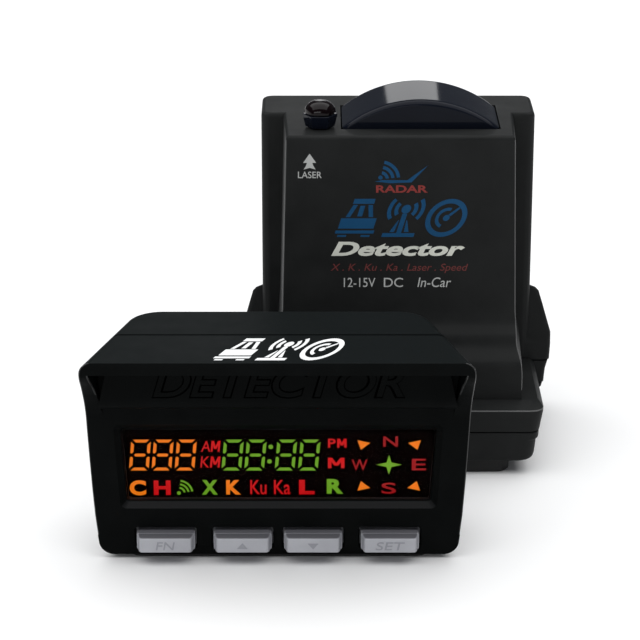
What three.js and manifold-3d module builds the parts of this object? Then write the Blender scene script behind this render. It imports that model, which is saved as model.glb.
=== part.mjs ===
// A two-piece radar detector for a car dashboard.
// The display head stands in front; the remote receiver head stands on its end
// behind it and to the right. Units are millimetres, +Z is up, -Y is the front.
// The origin is the middle of the whole footprint, on the floor.
import * as THREE from 'three';
import { mergeVertices } from 'three/addons/utils/BufferGeometryUtils.js';
import Module from 'manifold-3d';

const wasm = await Module();
wasm.setup();

// ---------------------------------------------------------------- dimensions
const GAP = 0.3;                       // clearance between fitted pieces
const DISPLAY_AT = [-11.87, -43.4];    // display head's face centre in plan
const RECEIVER_AT = [15.73, 51.4];     // receiver head's back centre in plan

// display head, in its own frame: the face plane is y = 0
const HEAD_BOTTOM = 0.85;              // underside of the case
const HEAD_TOP = 49;                   // top of the roof
const HEAD_BACK = 26.5;                // back of the case
const HEAD_SEAM = 9.6;                 // y of the joint between the two case halves
const SIDE_TAPER = 0.29;               // side walls close in by this much per mm of depth
const REAR_RADIUS = 8.5;               // rear corners seen from above
const WALL = 2;                        // case wall
const FACE_WALL = 2.2;                 // wall behind the face
const FLOOR_INSIDE = 2.2;              // inside floor of the case
const ROOF_INSIDE = 46.6;              // underside of the roof
const HOOD_REACH = 8;                  // how far the sun hood stands in front of the face
const LIP_BOTTOM = 46.3;               // lower edge of the hood's lip
const FACE_HALF_WIDTHS = [                // [z, half width at the face plane]
  [0.8, 38.9], [4.5, 39.5], [10.5, 40.2], [24.8, 41.1], [35, 41.6], [47.3, 42.1], [49, 42.1]];
const FACE_DEPTHS = [                     // [z, y of the front edge]
  [0, 0], [33.5, 0], [36.5, -0.9], [39.5, -2.6], [42.5, -4.9], [44.9, -7.2], [46.3, -8], [49, -8]];
const SCREEN = { top: 30.5, bottom: 13.5, topHalf: 34.3, bottomHalf: 33.1, chamfer: 1.3 };
const BUTTON_X = [-24.7, -7.9, 7.5, 24.3];
const BUTTON = { half: 6.35, bottom: 2.85, top: 7.25, reach: 4, flangeTop: 8.3, flangeHalf: 7.2 };
const SWITCH = { half: 2.5, bottom: 2.75, top: 6.95, front: 5.6, back: 9, bore: 1.7, boreEnd: 7.9 };
const POST = { x: 20, z: 37, radius: 3 };

// receiver head, in its own frame: the flat back is y = 0
const RX_TOP = 79.9;                   // end face with the lens
const RX_SLAB = { half: 32.6, front: -16.9 };
const RX_PANEL = { half: 26.5, front: -36.9 };
const RX_FLANGE = { half: 34, front: -48.9, edge: 16.5, top: 17.5 };
const RX_SEAM = 11.1;                  // joint between the housing and the end cap
const RX_BOTTOM = 3.5;                 // underside of the end cap
const LENS = { x: 4.85, half: 18.3, front: -30.6, back: -10.2, rise: 6.6 };
const LASER = { x: -18.6, y: -29, stem: 2.2, collarBase: 3.4, collar: 4.1, collarTop: 83.2 };
const CAP_SCREWS = [[-28.6, -43.6], [28.6, -43.6], [-27.6, -7], [27.6, -7]];

// ---------------------------------------------------------------- materials
const shade = (color, roughness, metalness = 0) => ({ color, roughness, metalness });
const HOUSING = shade(0x1a1d1e, 0.6);
const PANEL_BLACK = shade(0x131516, 0.55);
const KEY_GREY = shade(0x8f929a, 0.5);
const SMOKED = shade(0x160406, 0.08);
const BOARD = shade(0x14512c, 0.5);
const BLACK_PART = shade(0x0c0c0d, 0.5);
const STEEL = shade(0xb4b6b8, 0.3, 1);
const CERAMIC = shade(0xc9b890, 0.7);
const RUBBER = shade(0x161616, 0.9);
const LENS_BLACK = shade(0x0b0d12, 0.15);
const ZINC = shade(0x8c8e90, 0.4, 1);
const DARK_RED = shade(0x1b0508, 0.1);

// ---------------------------------------------------------------- shape tools
const table = (rows, at) => {
  const last = rows.length - 1;
  if (at <= rows[0][0]) return rows[0][1];
  if (at >= rows[last][0]) return rows[last][1];
  const i = rows.findIndex((row) => row[0] > at);
  const [z0, v0] = rows[i - 1];
  const [z1, v1] = rows[i];
  return v0 + ((v1 - v0) * (at - z0)) / (z1 - z0);
};

// corner points of a rounded rectangle, anticlockwise
function roundedRectangle(a0, a1, b0, b1, radius, steps = 4) {
  const corners = [[a1, b0, -90], [a1, b1, 0], [a0, b1, 90], [a0, b0, 180]];
  const points = [];
  for (const [a, b, start] of corners) {
    const ca = a === a1 ? a1 - radius : a0 + radius;
    const cb = b === b1 ? b1 - radius : b0 + radius;
    for (let i = 0; i <= steps; i += 1) {
      const angle = THREE.MathUtils.degToRad(start + (90 * i) / steps);
      points.push([ca + radius * Math.cos(angle), cb + radius * Math.sin(angle)]);
    }
  }
  return points;
}
const planRing = (z, x0, x1, y0, y1, radius, steps) =>
  roundedRectangle(x0, x1, y0, y1, radius, steps).map(([x, y]) => new THREE.Vector3(x, y, z));
const faceRing = (y, x0, x1, z0, z1, radius, steps) =>
  roundedRectangle(x0, x1, z0, z1, radius, steps).map(([x, z]) => new THREE.Vector3(x, y, z));

// closed skin over rings with equal point counts, fanned shut at both ends
function loft(rings) {
  const count = rings[0].length;
  const points = rings.flat();
  const faces = [];
  for (let r = 0; r < rings.length - 1; r += 1) {
    for (let i = 0; i < count; i += 1) {
      const j = (i + 1) % count;
      const a = r * count;
      const b = a + count;
      faces.push([a + i, a + j, b + j], [a + i, b + j, b + i]);
    }
  }
  for (const [ring, flip] of [[0, true], [rings.length - 1, false]]) {
    const middle = new THREE.Vector3();
    rings[ring].forEach((point) => middle.addScaledVector(point, 1 / count));
    const centre = points.push(middle) - 1;
    for (let i = 0; i < count; i += 1) {
      const a = ring * count + i;
      const b = ring * count + ((i + 1) % count);
      faces.push(flip ? [centre, b, a] : [centre, a, b]);
    }
  }
  const volume = faces.reduce((sum, [a, b, c]) =>
    sum + points[a].dot(new THREE.Vector3().crossVectors(points[b], points[c])), 0);
  const index = faces.flatMap(([a, b, c]) => (volume < 0 ? [a, c, b] : [a, b, c]));
  const positions = new Float32Array(points.flatMap((point) => [point.x, point.y, point.z]));
  return new wasm.Manifold(new wasm.Mesh({
    numProp: 3,
    vertProperties: positions,
    triVerts: new Uint32Array(index),
  }));
}

// any closed three.js geometry as a solid
function solid(geometry) {
  const bare = new THREE.BufferGeometry();
  bare.setAttribute('position', geometry.getAttribute('position'));
  if (geometry.index) bare.setIndex(geometry.index);
  const merged = mergeVertices(bare, 1e-4);
  return new wasm.Manifold(new wasm.Mesh({
    numProp: 3,
    vertProperties: Float32Array.from(merged.getAttribute('position').array),
    triVerts: Uint32Array.from(merged.index.array),
  }));
}

const box = (x0, x1, y0, y1, z0, z1) => {
  const geometry = new THREE.BoxGeometry(x1 - x0, y1 - y0, z1 - z0);
  geometry.translate((x0 + x1) / 2, (y0 + y1) / 2, (z0 + z1) / 2);
  return solid(geometry);
};
const rodY = (x, z, radius, y0, y1, sides = 20) => {
  const geometry = new THREE.CylinderGeometry(radius, radius, y1 - y0, sides);
  geometry.translate(x, (y0 + y1) / 2, z);
  return solid(geometry);
};
const rodZ = (x, y, radius, z0, z1, sides = 20) => {
  const geometry = new THREE.CylinderGeometry(radius, radius, z1 - z0, sides);
  geometry.rotateX(Math.PI / 2);
  geometry.translate(x, y, (z0 + z1) / 2);
  return solid(geometry);
};
// a block with rounded vertical edges
const padBlock = (x0, x1, y0, y1, z0, z1, radius, steps = 3) =>
  loft([planRing(z0, x0, x1, y0, y1, radius, steps), planRing(z1, x0, x1, y0, y1, radius, steps)]);
// a block with rounded edges along y
const plateBlock = (x0, x1, y0, y1, z0, z1, radius, steps = 3) =>
  loft([faceRing(y0, x0, x1, z0, z1, radius, steps), faceRing(y1, x0, x1, z0, z1, radius, steps)]);
const join = (...parts) => parts.reduce((a, b) => a.add(b));
const cut = (body, ...tools) => tools.reduce((a, b) => a.subtract(b), body);

// ---------------------------------------------------------------- the object
const object = new THREE.Group();
object.name = 'radar_detector';

function place(name, body, material, [x, y]) {
  const mesh = body.getMesh();
  const geometry = new THREE.BufferGeometry();
  geometry.setAttribute('position', new THREE.BufferAttribute(Float32Array.from(mesh.vertProperties), 3));
  geometry.setIndex(Array.from(mesh.triVerts));
  geometry.translate(x, y, 0);
  geometry.computeVertexNormals();
  const node = new THREE.Mesh(geometry, new THREE.MeshStandardMaterial({ ...material, flatShading: true }));
  node.name = name;
  object.add(node);
}
const inHead = (name, body, material) => place(name, body, material, DISPLAY_AT);
const inReceiver = (name, body, material) => place(name, body, material, RECEIVER_AT);

// ---------------------------------------------------------------- display case
// one horizontal section of the case: straight front, tapering sides, round rear corners
function headRing(z, { side = 0, front = 0, back = 0, faceY = null }) {
  const halfWidth = table(FACE_HALF_WIDTHS, z) - side;
  const yFront = faceY === null ? table(FACE_DEPTHS, z) + front : faceY;
  const slope = Math.atan(SIDE_TAPER);
  const radius = REAR_RADIUS - side;
  const yBack = HEAD_BACK - back;
  const yTangent = yBack - radius + radius * Math.sin(slope);
  const xTangent = halfWidth - (yTangent - table(FACE_DEPTHS, z)) * SIDE_TAPER;
  const xFront = halfWidth - (yFront - table(FACE_DEPTHS, z)) * SIDE_TAPER;
  const right = [[xFront, yFront]];
  for (let i = 0; i <= 6; i += 1) {
    const angle = slope + ((Math.PI / 2 - slope) * i) / 6;
    right.push([
      xTangent - radius * Math.cos(slope) + radius * Math.cos(angle),
      yBack - radius + radius * Math.sin(angle),
    ]);
  }
  const left = right.map(([x, y]) => [-x, y]).reverse();
  return [...right, ...left].map(([x, y]) => new THREE.Vector3(x, y, z));
}

function headOutside() {
  const rings = [];
  const bottomRadius = 3;
  const topRadius = 2.4;
  const steps = [0, 0.25, 0.5, 0.75, 1];
  for (const t of steps) {
    const angle = (t * Math.PI) / 2;
    const inset = bottomRadius * (1 - Math.sin(angle));
    const z = HEAD_BOTTOM + bottomRadius * (1 - Math.cos(angle));
    rings.push(headRing(z, { side: inset, front: inset * 0.25, back: inset * 0.4 }));
  }
  for (const z of [10.5, 24.8, 33.5, 36.5, 39.5, 42.5, 44.9, 46.3]) rings.push(headRing(z, {}));
  for (const t of steps.slice(1)) {
    const angle = (t * Math.PI) / 2;
    const inset = topRadius * (1 - Math.cos(angle));
    const z = HEAD_TOP - topRadius + topRadius * Math.sin(angle);
    rings.push(headRing(z, { side: inset, front: inset * 0.2, back: inset }));
  }
  return loft(rings);
}

const headInside = loft([
  headRing(FLOOR_INSIDE, { side: WALL + 1, back: WALL, faceY: FACE_WALL }),
  headRing(4, { side: WALL, back: WALL, faceY: FACE_WALL }),
  headRing(24.8, { side: WALL, back: WALL, faceY: FACE_WALL }),
  headRing(44, { side: WALL + 0.3, back: WALL, faceY: FACE_WALL }),
  headRing(ROOF_INSIDE, { side: WALL + 1.5, back: WALL + 1, faceY: FACE_WALL }),
]);

// the space under the hood, closed at the sides by the two cheeks
const hoodRing = (z, half) => [
  new THREE.Vector3(-half - 0.3, -HOOD_REACH - 1, z),
  new THREE.Vector3(half + 0.3, -HOOD_REACH - 1, z),
  new THREE.Vector3(half - 0.9, 0, z),
  new THREE.Vector3(-half + 0.9, 0, z),
];
const hoodSpace = loft([
  hoodRing(33, 38.6),
  hoodRing(38.3, 39.1),
  hoodRing(LIP_BOTTOM, 39.9),
]);

// the sloping bar under the hood, with slanted ends
const BAR_PROFILE = [
  [1, 36], [-2.3, 36.5], [-3.3, 37.2], [-3.8, 38.3], [-3.65, 39.6], [-2, 46.9], [1, 46.9]];
const barRing = (sign) => BAR_PROFILE.map(([y, z]) =>
  new THREE.Vector3(sign * (38.5 - Math.max(0, z - 37) * 0.22), y, z));
const hoodBar = loft([barRing(-1), barRing(1)]);

const screenRing = (y, grow) => [
  new THREE.Vector3(-SCREEN.bottomHalf - grow, y, SCREEN.bottom - grow),
  new THREE.Vector3(SCREEN.bottomHalf + grow, y, SCREEN.bottom - grow),
  new THREE.Vector3(SCREEN.topHalf + grow, y, SCREEN.top + grow),
  new THREE.Vector3(-SCREEN.topHalf - grow, y, SCREEN.top + grow),
];
const screenHole = loft([
  screenRing(-0.5, SCREEN.chamfer + 0.5),
  screenRing(SCREEN.chamfer, 0),
  screenRing(FACE_WALL + 1, 0),
]);
const buttonHoles = BUTTON_X.map((x) => plateBlock(
  x - BUTTON.half - GAP, x + BUTTON.half + GAP, -1, FACE_WALL + 1,
  BUTTON.bottom - GAP, BUTTON.top + GAP, 0.6));

const headShell = cut(headOutside(), hoodSpace).add(hoodBar).subtract(headInside);
const postRods = [-POST.x, POST.x].map((x) => cut(
  rodY(x, POST.z, POST.radius, FACE_WALL - 0.5, HEAD_SEAM + 2.4),
  rodY(x, POST.z, 1.3, 4.5, HEAD_SEAM + 3)));
const frontHalf = headShell.intersect(box(-60, 60, -20, HEAD_SEAM - GAP / 2, -1, 60));
const bezel = cut(join(frontHalf, ...postRods), screenHole, ...buttonHoles);
inHead('display_front_bezel', bezel, HOUSING);

// ports in the back wall: [name, x0, x1, z0, z1]
const PORTS = {
  link_jack: [-21, -9, 3.1, 11.5],
  service_port: [-4.2, 4.2, 4.4, 8],
  power_jack: [9.5, 18.5, 3.1, 11.5],
};
const SPEAKER = { x: -10, z: 23.2, radius: 10 };
const rearHalf = headShell.intersect(box(-60, 60, HEAD_SEAM + GAP / 2, 60, -1, 60));
const rearBosses = [-POST.x, POST.x].map((x) =>
  rodY(x, POST.z, POST.radius + 0.5, HEAD_SEAM + 2.7, HEAD_BACK - 1));
const screwHoles = [-POST.x, POST.x].flatMap((x) => [
  rodY(x, POST.z, 1.3, HEAD_SEAM + 1, HEAD_BACK),
  rodY(x, POST.z, 2.5, 21.2, HEAD_BACK + 1),
]);
const portHoles = Object.values(PORTS).map(([x0, x1, z0, z1]) =>
  box(x0 - GAP, x1 + GAP, HEAD_BACK - 4, HEAD_BACK + 1, z0 - GAP, z1 + GAP));
const grilleSlots = [-4, -2, 0, 2, 4].map((row) => {
  const half = Math.sqrt(8.4 ** 2 - (row * 1.7) ** 2);
  const z = SPEAKER.z + row * 1.7;
  return plateBlock(
    SPEAKER.x - half, SPEAKER.x + half, HEAD_BACK - 4, HEAD_BACK + 1, z - 0.7, z + 0.7, 0.65, 2);
});
inHead('display_rear_shell',
  cut(join(rearHalf, ...rearBosses), ...screwHoles, ...portHoles, ...grilleSlots), HOUSING);

// ---------------------------------------------------------------- display window and boards
const windowPane = join(
  loft([screenRing(SCREEN.chamfer, -GAP), screenRing(FACE_WALL + 0.5, -GAP)]),
  box(-35.6, 35.6, FACE_WALL + GAP, FACE_WALL + 1.5, SCREEN.bottom - 2, SCREEN.top + 2));
inHead('display_window', windowPane, SMOKED);
inHead('led_display_module', plateBlock(-33.6, 33.6, 4.9, 9, 12.6, 31.4, 0.6, 2), BLACK_PART);
inHead('display_board', plateBlock(-32, 32, 9.3, 10.9, 3, 33, 1, 2), BOARD);
inHead('board_connector', box(-14, 14, 11.2, 13.2, 24, 29), BLACK_PART);
inHead('main_board', plateBlock(-29, 29, 13.5, 15.1, 2.8, 33, 1, 2), BOARD);
inHead('processor_shield', plateBlock(5, 25, 15.4, 18.2, 14.5, 31, 0.8, 2), STEEL);
inHead('satellite_board', padBlock(-10, 10, 2.9, 22.4, 39, 40.2, 1, 2), BOARD);
inHead('satellite_antenna', padBlock(-9, 9, 3.6, 21.6, 40.5, 44.5, 1, 2), CERAMIC);

// ---------------------------------------------------------------- speaker and ports
inHead('speaker_magnet', rodY(SPEAKER.x, SPEAKER.z, 6, 15.6, 19), STEEL);
const speakerFrame = cut(
  rodY(SPEAKER.x, SPEAKER.z, SPEAKER.radius, 19.3, 23.4, 28),
  loft([
    faceRing(24, SPEAKER.x - 9, SPEAKER.x + 9, SPEAKER.z - 9, SPEAKER.z + 9, 8.99, 6),
    faceRing(20.6, SPEAKER.x - 3, SPEAKER.x + 3, SPEAKER.z - 3, SPEAKER.z + 3, 2.99, 6),
  ]));
inHead('speaker_frame', speakerFrame, BLACK_PART);

const PORT_FRONT = 15.4;
const PORT_BACK = HEAD_BACK - 0.5;
for (const [name, [x0, x1, z0, z1]] of Object.entries(PORTS)) {
  const middle = [(x0 + x1) / 2, (z0 + z1) / 2];
  let body = box(x0, x1, PORT_FRONT, PORT_BACK, z0, z1);
  if (name === 'power_jack') {
    body = cut(body, rodY(middle[0], middle[1], 2.8, PORT_BACK - 8.5, PORT_BACK + 1))
      .add(rodY(middle[0], middle[1], 0.65, PORT_BACK - 9, PORT_BACK - 1, 12));
  } else if (name === 'link_jack') {
    body = cut(body, box(x0 + 1.2, x1 - 1.2, PORT_BACK - 8.5, PORT_BACK + 1, z0 + 1.2, z1 - 1.9));
  } else {
    body = cut(body,
      plateBlock(x0 + 0.6, x1 - 0.6, PORT_BACK - 5, PORT_BACK + 1, z0 + 0.7, z1 - 0.7, 0.5, 2));
  }
  inHead(name, body, name === 'service_port' ? STEEL : BLACK_PART);
}

// ---------------------------------------------------------------- case screws and foot pad
function screwY(x, z, tip, seat) {
  const head = rodY(x, z, 2.2, seat, seat + 1.6);
  const slot = [box(x - 1.4, x + 1.4, seat + 0.9, seat + 2, z - 0.3, z + 0.3),
    box(x - 0.3, x + 0.3, seat + 0.9, seat + 2, z - 1.4, z + 1.4)];
  return cut(join(head, rodY(x, z, 1, tip, seat + 0.1, 12)), ...slot);
}
[-POST.x, POST.x].forEach((x, i) => inHead(`case_screw_${i + 1}`, screwY(x, POST.z, 6, 21.5), ZINC));
inHead('dash_pad', padBlock(-33, 33, 1.5, 19.5, 0, HEAD_BOTTOM - GAP, 3), RUBBER);

// ---------------------------------------------------------------- buttons and switches
BUTTON_X.forEach((x, i) => {
  const { half, bottom, top, reach, flangeTop, flangeHalf } = BUTTON;
  const key = loft([
    faceRing(-reach, x - half + 0.9, x + half - 0.9, bottom + 0.8, top - 0.45, 0.5, 3),
    faceRing(-reach + 0.4, x - half + 0.35, x + half - 0.35, bottom + 0.3, top - 0.1, 0.6, 3),
    faceRing(-reach + 0.9, x - half + 0.2, x + half - 0.2, bottom + 0.15, top, 0.6, 3),
    faceRing(FACE_WALL + 0.8, x - half, x + half, bottom, top, 0.6, 3),
  ]);
  const flange = box(x - flangeHalf, x + flangeHalf,
    FACE_WALL + GAP, FACE_WALL + 1.5, bottom - 0.25, flangeTop);
  inHead(`button_${i + 1}`, key.add(flange), KEY_GREY);

  const midZ = (SWITCH.bottom + SWITCH.top) / 2;
  const body = box(x - SWITCH.half, x + SWITCH.half, SWITCH.front, SWITCH.back, SWITCH.bottom, SWITCH.top);
  const bore = rodY(x, midZ, SWITCH.bore, SWITCH.front - 1, SWITCH.boreEnd, 16);
  inHead(`switch_${i + 1}`, body.subtract(bore), BLACK_PART);
  const plunger = rodY(x, midZ, SWITCH.bore - GAP, FACE_WALL + 1.8, 6.6, 16);
  inHead(`switch_plunger_${i + 1}`, plunger, KEY_GREY);
});

// ---------------------------------------------------------------- receiver housing
const SLAB_LEVELS = [[RX_SEAM, 0], [78.8, 0], [79.3, 0.15], [79.65, 0.45], [RX_TOP, 1]];
const slabOutside = loft(SLAB_LEVELS.map(([z, inset]) => planRing(
  z, -RX_SLAB.half + inset, RX_SLAB.half - inset, RX_SLAB.front + inset * 0.6, -inset, 2 - inset * 0.3)));
// front panel: its face runs straight down, then steps forward twice above the flange
const PANEL_LEVELS = [
  // z, half width, face y
  [RX_SEAM, 29, -44.1], [23, 29, -44.1], [25.6, 28.85, -44.1], [26.6, 28.7, -43.8], [27.5, 28.5, -43.1],
  [28.5, 28.2, -42], [29.5, 27.9, -41.1], [30.4, 27.75, -40.6], [31.4, 27.7, -40.3], [32.3, 27.7, -39.8],
  [33.2, 27.7, -38.9], [34.2, 27.65, -38], [35.4, 27.6, -37.4], [37, 27.5, -37], [38.6, 27.45, RX_PANEL.front],
  [78.9, RX_PANEL.half, RX_PANEL.front],
  [79.5, RX_PANEL.half - 0.25, RX_PANEL.front + 0.2],
  [RX_TOP, RX_PANEL.half - 0.7, RX_PANEL.front + 0.7],
];
const panelOutside = loft(PANEL_LEVELS.map(([z, half, y]) => planRing(z, -half, half, y, -10, 1.2, 3)));
// the flange's top slopes down to its front edge and sides
const flangeOutside = loft([
  planRing(RX_SEAM, -33.2, 33.2, RX_FLANGE.front + 0.3, -8, 3),
  planRing(15.6, -RX_FLANGE.half + 0.05, RX_FLANGE.half - 0.05, RX_FLANGE.front, -8, 3),
  planRing(RX_FLANGE.edge, -RX_FLANGE.half, RX_FLANGE.half, RX_FLANGE.front, -8, 3),
  planRing(RX_FLANGE.top, -RX_FLANGE.half + 1.2, RX_FLANGE.half - 1.2, RX_FLANGE.front + 4.6, -8, 1.5),
]);
// the ears: blocks at both sides of the slab that lean back towards their tops
const EAR_LEVELS = [
  // z, half width, front y; the dip at 17 is the groove round each ear
  [RX_SEAM, 36.7, -16.4], [14.5, 37, -16.4], [16.75, 37.6, -16.4], [16.8, 37, -15.9], [17.15, 37, -15.9],
  [17.2, 37.9, -16.7], [21.1, 38.1, -16.7], [24, 38.1, -16.2], [27.5, 37.1, -15.2], [31, 36.1, -13.9],
  [33.9, 35.2, -12.8], [34.7, 34.4, -12.5], [35.2, 33, -12.2],
];
const CAP_EAR_LEVELS = [
  [9, 34.8, -15.6], [9.3, 35.6, -16.1], [9.8, 36.2, -16.3], [RX_SEAM - GAP, 36.4, -16.4],
];
// behind their front faces the ears close in at the sides and, above this height, at the top
const EAR_DRAFT = { side: 0.13, top: 0.42, from: 24, over: 9 };
const earRing = ([z, half, front]) => {
  const dip = EAR_DRAFT.top * Math.min(1, Math.max(0, z - EAR_DRAFT.from) / EAR_DRAFT.over);
  return planRing(z, -half, half, front, 0, 1.2, 3).map(({ x, y }) =>
    new THREE.Vector3(x - Math.sign(x) * EAR_DRAFT.side * (y - front), y, z - dip * (y - front)));
};
const earBlock = (levels) => loft(levels.map(earRing));
const earOutside = earBlock(EAR_LEVELS);
const housingOutside = join(slabOutside, panelOutside, flangeOutside, earOutside);
const housingInside = join(
  box(-30, 30, RX_SLAB.front + 2, -2, RX_SEAM - 1, RX_TOP - 2),
  box(-RX_PANEL.half + 2, RX_PANEL.half - 2, RX_PANEL.front + 2, -8, RX_SEAM - 1, RX_TOP - 2),
  box(-27, 27, -42, -8, RX_SEAM - 1, 20),
  box(-30.8, 30.8, -46.6, -4, RX_SEAM - 1, 15),
  box(-32.4, 32.4, -9, -2, RX_SEAM - 1, 18.5));
const screwLugs = CAP_SCREWS.map(([x, y]) => box(x - 2.7, x + 2.7, y - 2.7, y + 2.7, RX_SEAM, 16));
const screwBores = CAP_SCREWS.map(([x, y]) => rodZ(x, y, 1.4, RX_SEAM - 1, 15.2, 16));
const lensHole = box(LENS.x - LENS.half - GAP, LENS.x + LENS.half + GAP,
  LENS.front - GAP, LENS.back + GAP, RX_TOP - 3, RX_TOP + 1);
const laserHole = rodZ(LASER.x, LASER.y, LASER.stem + GAP, RX_TOP - 3, RX_TOP + 1);
inReceiver('receiver_housing', cut(join(cut(housingOutside, housingInside), ...screwLugs),
  ...screwBores, lensHole, laserHole), HOUSING);

// ---------------------------------------------------------------- end cap, seal and foot
const CAP_TOP = RX_SEAM - GAP;
const capOutside = join(
  loft([
    planRing(RX_BOTTOM, -31, 31, -47.9, -2, 3),
    planRing(4.2, -31.8, 31.8, -48.5, -1.4, 3),
    planRing(5.2, -32.1, 32.1, -48.6, -1, 3),
    planRing(8.7, -32.5, 32.5, -48.6, -1, 3),
    planRing(9, -33, 33, -48.6, -1, 3),
    planRing(CAP_TOP, -33.1, 33.1, -48.6, -1, 3),
  ]),
  earBlock(CAP_EAR_LEVELS));
const LINK_SOCKET = { half: 6.2, bottom: 5.7, top: 10.5 };
const capInside = cut(
  box(-28.6, 28.6, -46, -2.4, 5.4, RX_SEAM),
  ...CAP_SCREWS.map(([x, y]) => rodZ(x, y, 3.9, 5, RX_SEAM + 1, 16)));
const capScrewHoles = CAP_SCREWS.flatMap(([x, y]) => [
  rodZ(x, y, 1.4, RX_BOTTOM - 1, RX_SEAM + 1, 16),
  rodZ(x, y, 2.6, RX_BOTTOM - 1, 6.4, 20),
]);
inReceiver('receiver_end_cap', cut(capOutside, capInside, ...capScrewHoles,
  box(-LINK_SOCKET.half - GAP, LINK_SOCKET.half + GAP, -3, 1, LINK_SOCKET.bottom - GAP, RX_SEAM)), HOUSING);
inReceiver('receiver_foot', loft([
  planRing(0, -26, 26, -46.4, -6.3, 3),
  planRing(0.4, -26.3, 26.3, -46.7, -6, 3),
  planRing(RX_BOTTOM - GAP, -26.3, 26.3, -46.7, -6, 3),
]), RUBBER);
CAP_SCREWS.forEach(([x, y], i) => {
  const slot = [
    box(x - 1.5, x + 1.5, y - 0.3, y + 0.3, 3, 5),
    box(x - 0.3, x + 0.3, y - 1.5, y + 1.5, 3, 5),
  ];
  inReceiver(`cap_screw_${i + 1}`,
    cut(join(rodZ(x, y, 2.3, 4.2, 6.1), rodZ(x, y, 1.1, 6, 15, 12)), ...slot), ZINC);
});
inReceiver('link_socket', cut(
  box(-LINK_SOCKET.half, LINK_SOCKET.half, -13, -0.6, LINK_SOCKET.bottom, LINK_SOCKET.top),
  box(-LINK_SOCKET.half + 1, LINK_SOCKET.half - 1, -8.6, 1, LINK_SOCKET.bottom + 0.9, LINK_SOCKET.top - 1)),
BLACK_PART);

// ---------------------------------------------------------------- lens and antenna
// the lens is a low arch across x, drawn out along y with softened rims
function archRing(y, inset) {
  const chord = LENS.half - inset;
  const rise = LENS.rise - inset;
  const radius = (chord ** 2 + rise ** 2) / (2 * rise);
  const sweep = Math.asin(chord / radius);
  const points = [];
  for (let i = 0; i <= 18; i += 1) {
    const angle = -sweep + (2 * sweep * i) / 18;
    points.push(new THREE.Vector3(LENS.x + radius * Math.sin(angle), y,
      RX_TOP + rise - radius + radius * Math.cos(angle)));
  }
  points.push(new THREE.Vector3(LENS.x + chord, y, 77.2), new THREE.Vector3(LENS.x - chord, y, 77.2));
  return points;
}
const lensBody = loft([
  archRing(LENS.front, 1.3), archRing(LENS.front + 0.5, 0.5), archRing(LENS.front + 1.3, 0),
  archRing(LENS.back - 1.3, 0), archRing(LENS.back - 0.5, 0.5), archRing(LENS.back, 1.3)]);
const lensPlate = box(LENS.x - 18, LENS.x + 18, LENS.front - 1.6, LENS.back + 1.6, 76.1, 77.6);
inReceiver('antenna_lens', join(lensBody, lensPlate), LENS_BLACK);
const hornLevels = [[75, 17.2, 9.8], [66, 15, 8.5], [52, 8.5, 5]];
const LENS_MID = (LENS.front + LENS.back) / 2;
function hornRing(z, halfX, halfY, wall) {
  const acrossX = halfX - wall;
  const acrossY = halfY - wall;
  return planRing(z, LENS.x - acrossX, LENS.x + acrossX, LENS_MID - acrossY, LENS_MID + acrossY, 0.5, 2);
}
inReceiver('lens_gasket', cut(
  box(LENS.x - 18, LENS.x + 18, LENS.front - 1.6, LENS.back + 1.6, 75.3, 75.8),
  box(LENS.x - 17, LENS.x + 17, LENS_MID - 9, LENS_MID + 9, 75, 76)), RUBBER);
inReceiver('horn_antenna', cut(
  loft(hornLevels.map(([z, halfX, halfY]) => hornRing(z, halfX, halfY, 0))),
  loft([hornRing(76, 17.2, 9.8, 1), hornRing(66, 15, 8.5, 1), hornRing(54, 9.4, 5.5, 1)])), ZINC);
inReceiver('microwave_block', join(
  padBlock(LENS.x - 13, LENS.x + 13, -28, -12.4, 34, 48, 1, 2),
  padBlock(LENS.x - 8, LENS.x + 8, -25, -15.8, 47.5, 51.7, 1, 2)), STEEL);

// ---------------------------------------------------------------- receiver board and laser eye
inReceiver('receiver_board', padBlock(-27, 27, -4.1, -2.5, 20, 75, 0.5, 2), BOARD);
inReceiver('receiver_shield', box(-14, 14, -8, -4.4, 24, 44), STEEL);
inReceiver('receiver_connector', box(-8, 8, -9, -4.4, 20.5, 23.6), BLACK_PART);
inReceiver('laser_board',
  padBlock(LASER.x - 5.5, LASER.x + 5.5, LASER.y - 5.5, LASER.y + 6, 68.4, 69.6, 1, 2), BOARD);
inReceiver('laser_sensor',
  padBlock(LASER.x - 2.5, LASER.x + 2.5, LASER.y - 2.5, LASER.y + 2.5, 69.9, 73.6, 0.8, 2), BLACK_PART);
// the eye: a stem through the collar, widening into a dome above it
const EYE_LEVELS = [                      // [z, radius]
  [74.2, LASER.stem], [83.5, LASER.stem], [83.5, 3.7], [84.3, 3.55],
  [85.1, 3.1], [85.7, 2.4], [86.1, 1.5], [86.3, 0.6],
];
const eyeRing = (z, radius) =>
  planRing(z, LASER.x - radius, LASER.x + radius, LASER.y - radius, LASER.y + radius, radius * 0.999, 5);
inReceiver('laser_lens', loft(EYE_LEVELS.map(([z, radius]) => eyeRing(z, radius))), DARK_RED);
const hexRing = (z, radius) => [0, 1, 2, 3, 4, 5].map((corner) => new THREE.Vector3(
  LASER.x + radius * Math.cos((corner * Math.PI) / 3),
  LASER.y + radius * Math.sin((corner * Math.PI) / 3), z));
inReceiver('laser_collar', cut(
  loft([hexRing(RX_TOP + GAP, LASER.collarBase), hexRing(LASER.collarTop, LASER.collar)]),
  rodZ(LASER.x, LASER.y, LASER.stem + GAP, RX_TOP, RX_TOP + 4)), PANEL_BLACK);

export default object;
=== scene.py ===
"""Looks of a two-piece radar detector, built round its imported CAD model.

The display head stands in front and the remote receiver head stands on its end behind it.
Shapes are written in millimetres in each head's own frame (display: face plane y = 0, middle of
the face x = 0, surface z = 0; receiver: flat back y = 0, middle x = 0, surface z = 0), and are
moved to where the frame holds that head.
"""
import math

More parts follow.
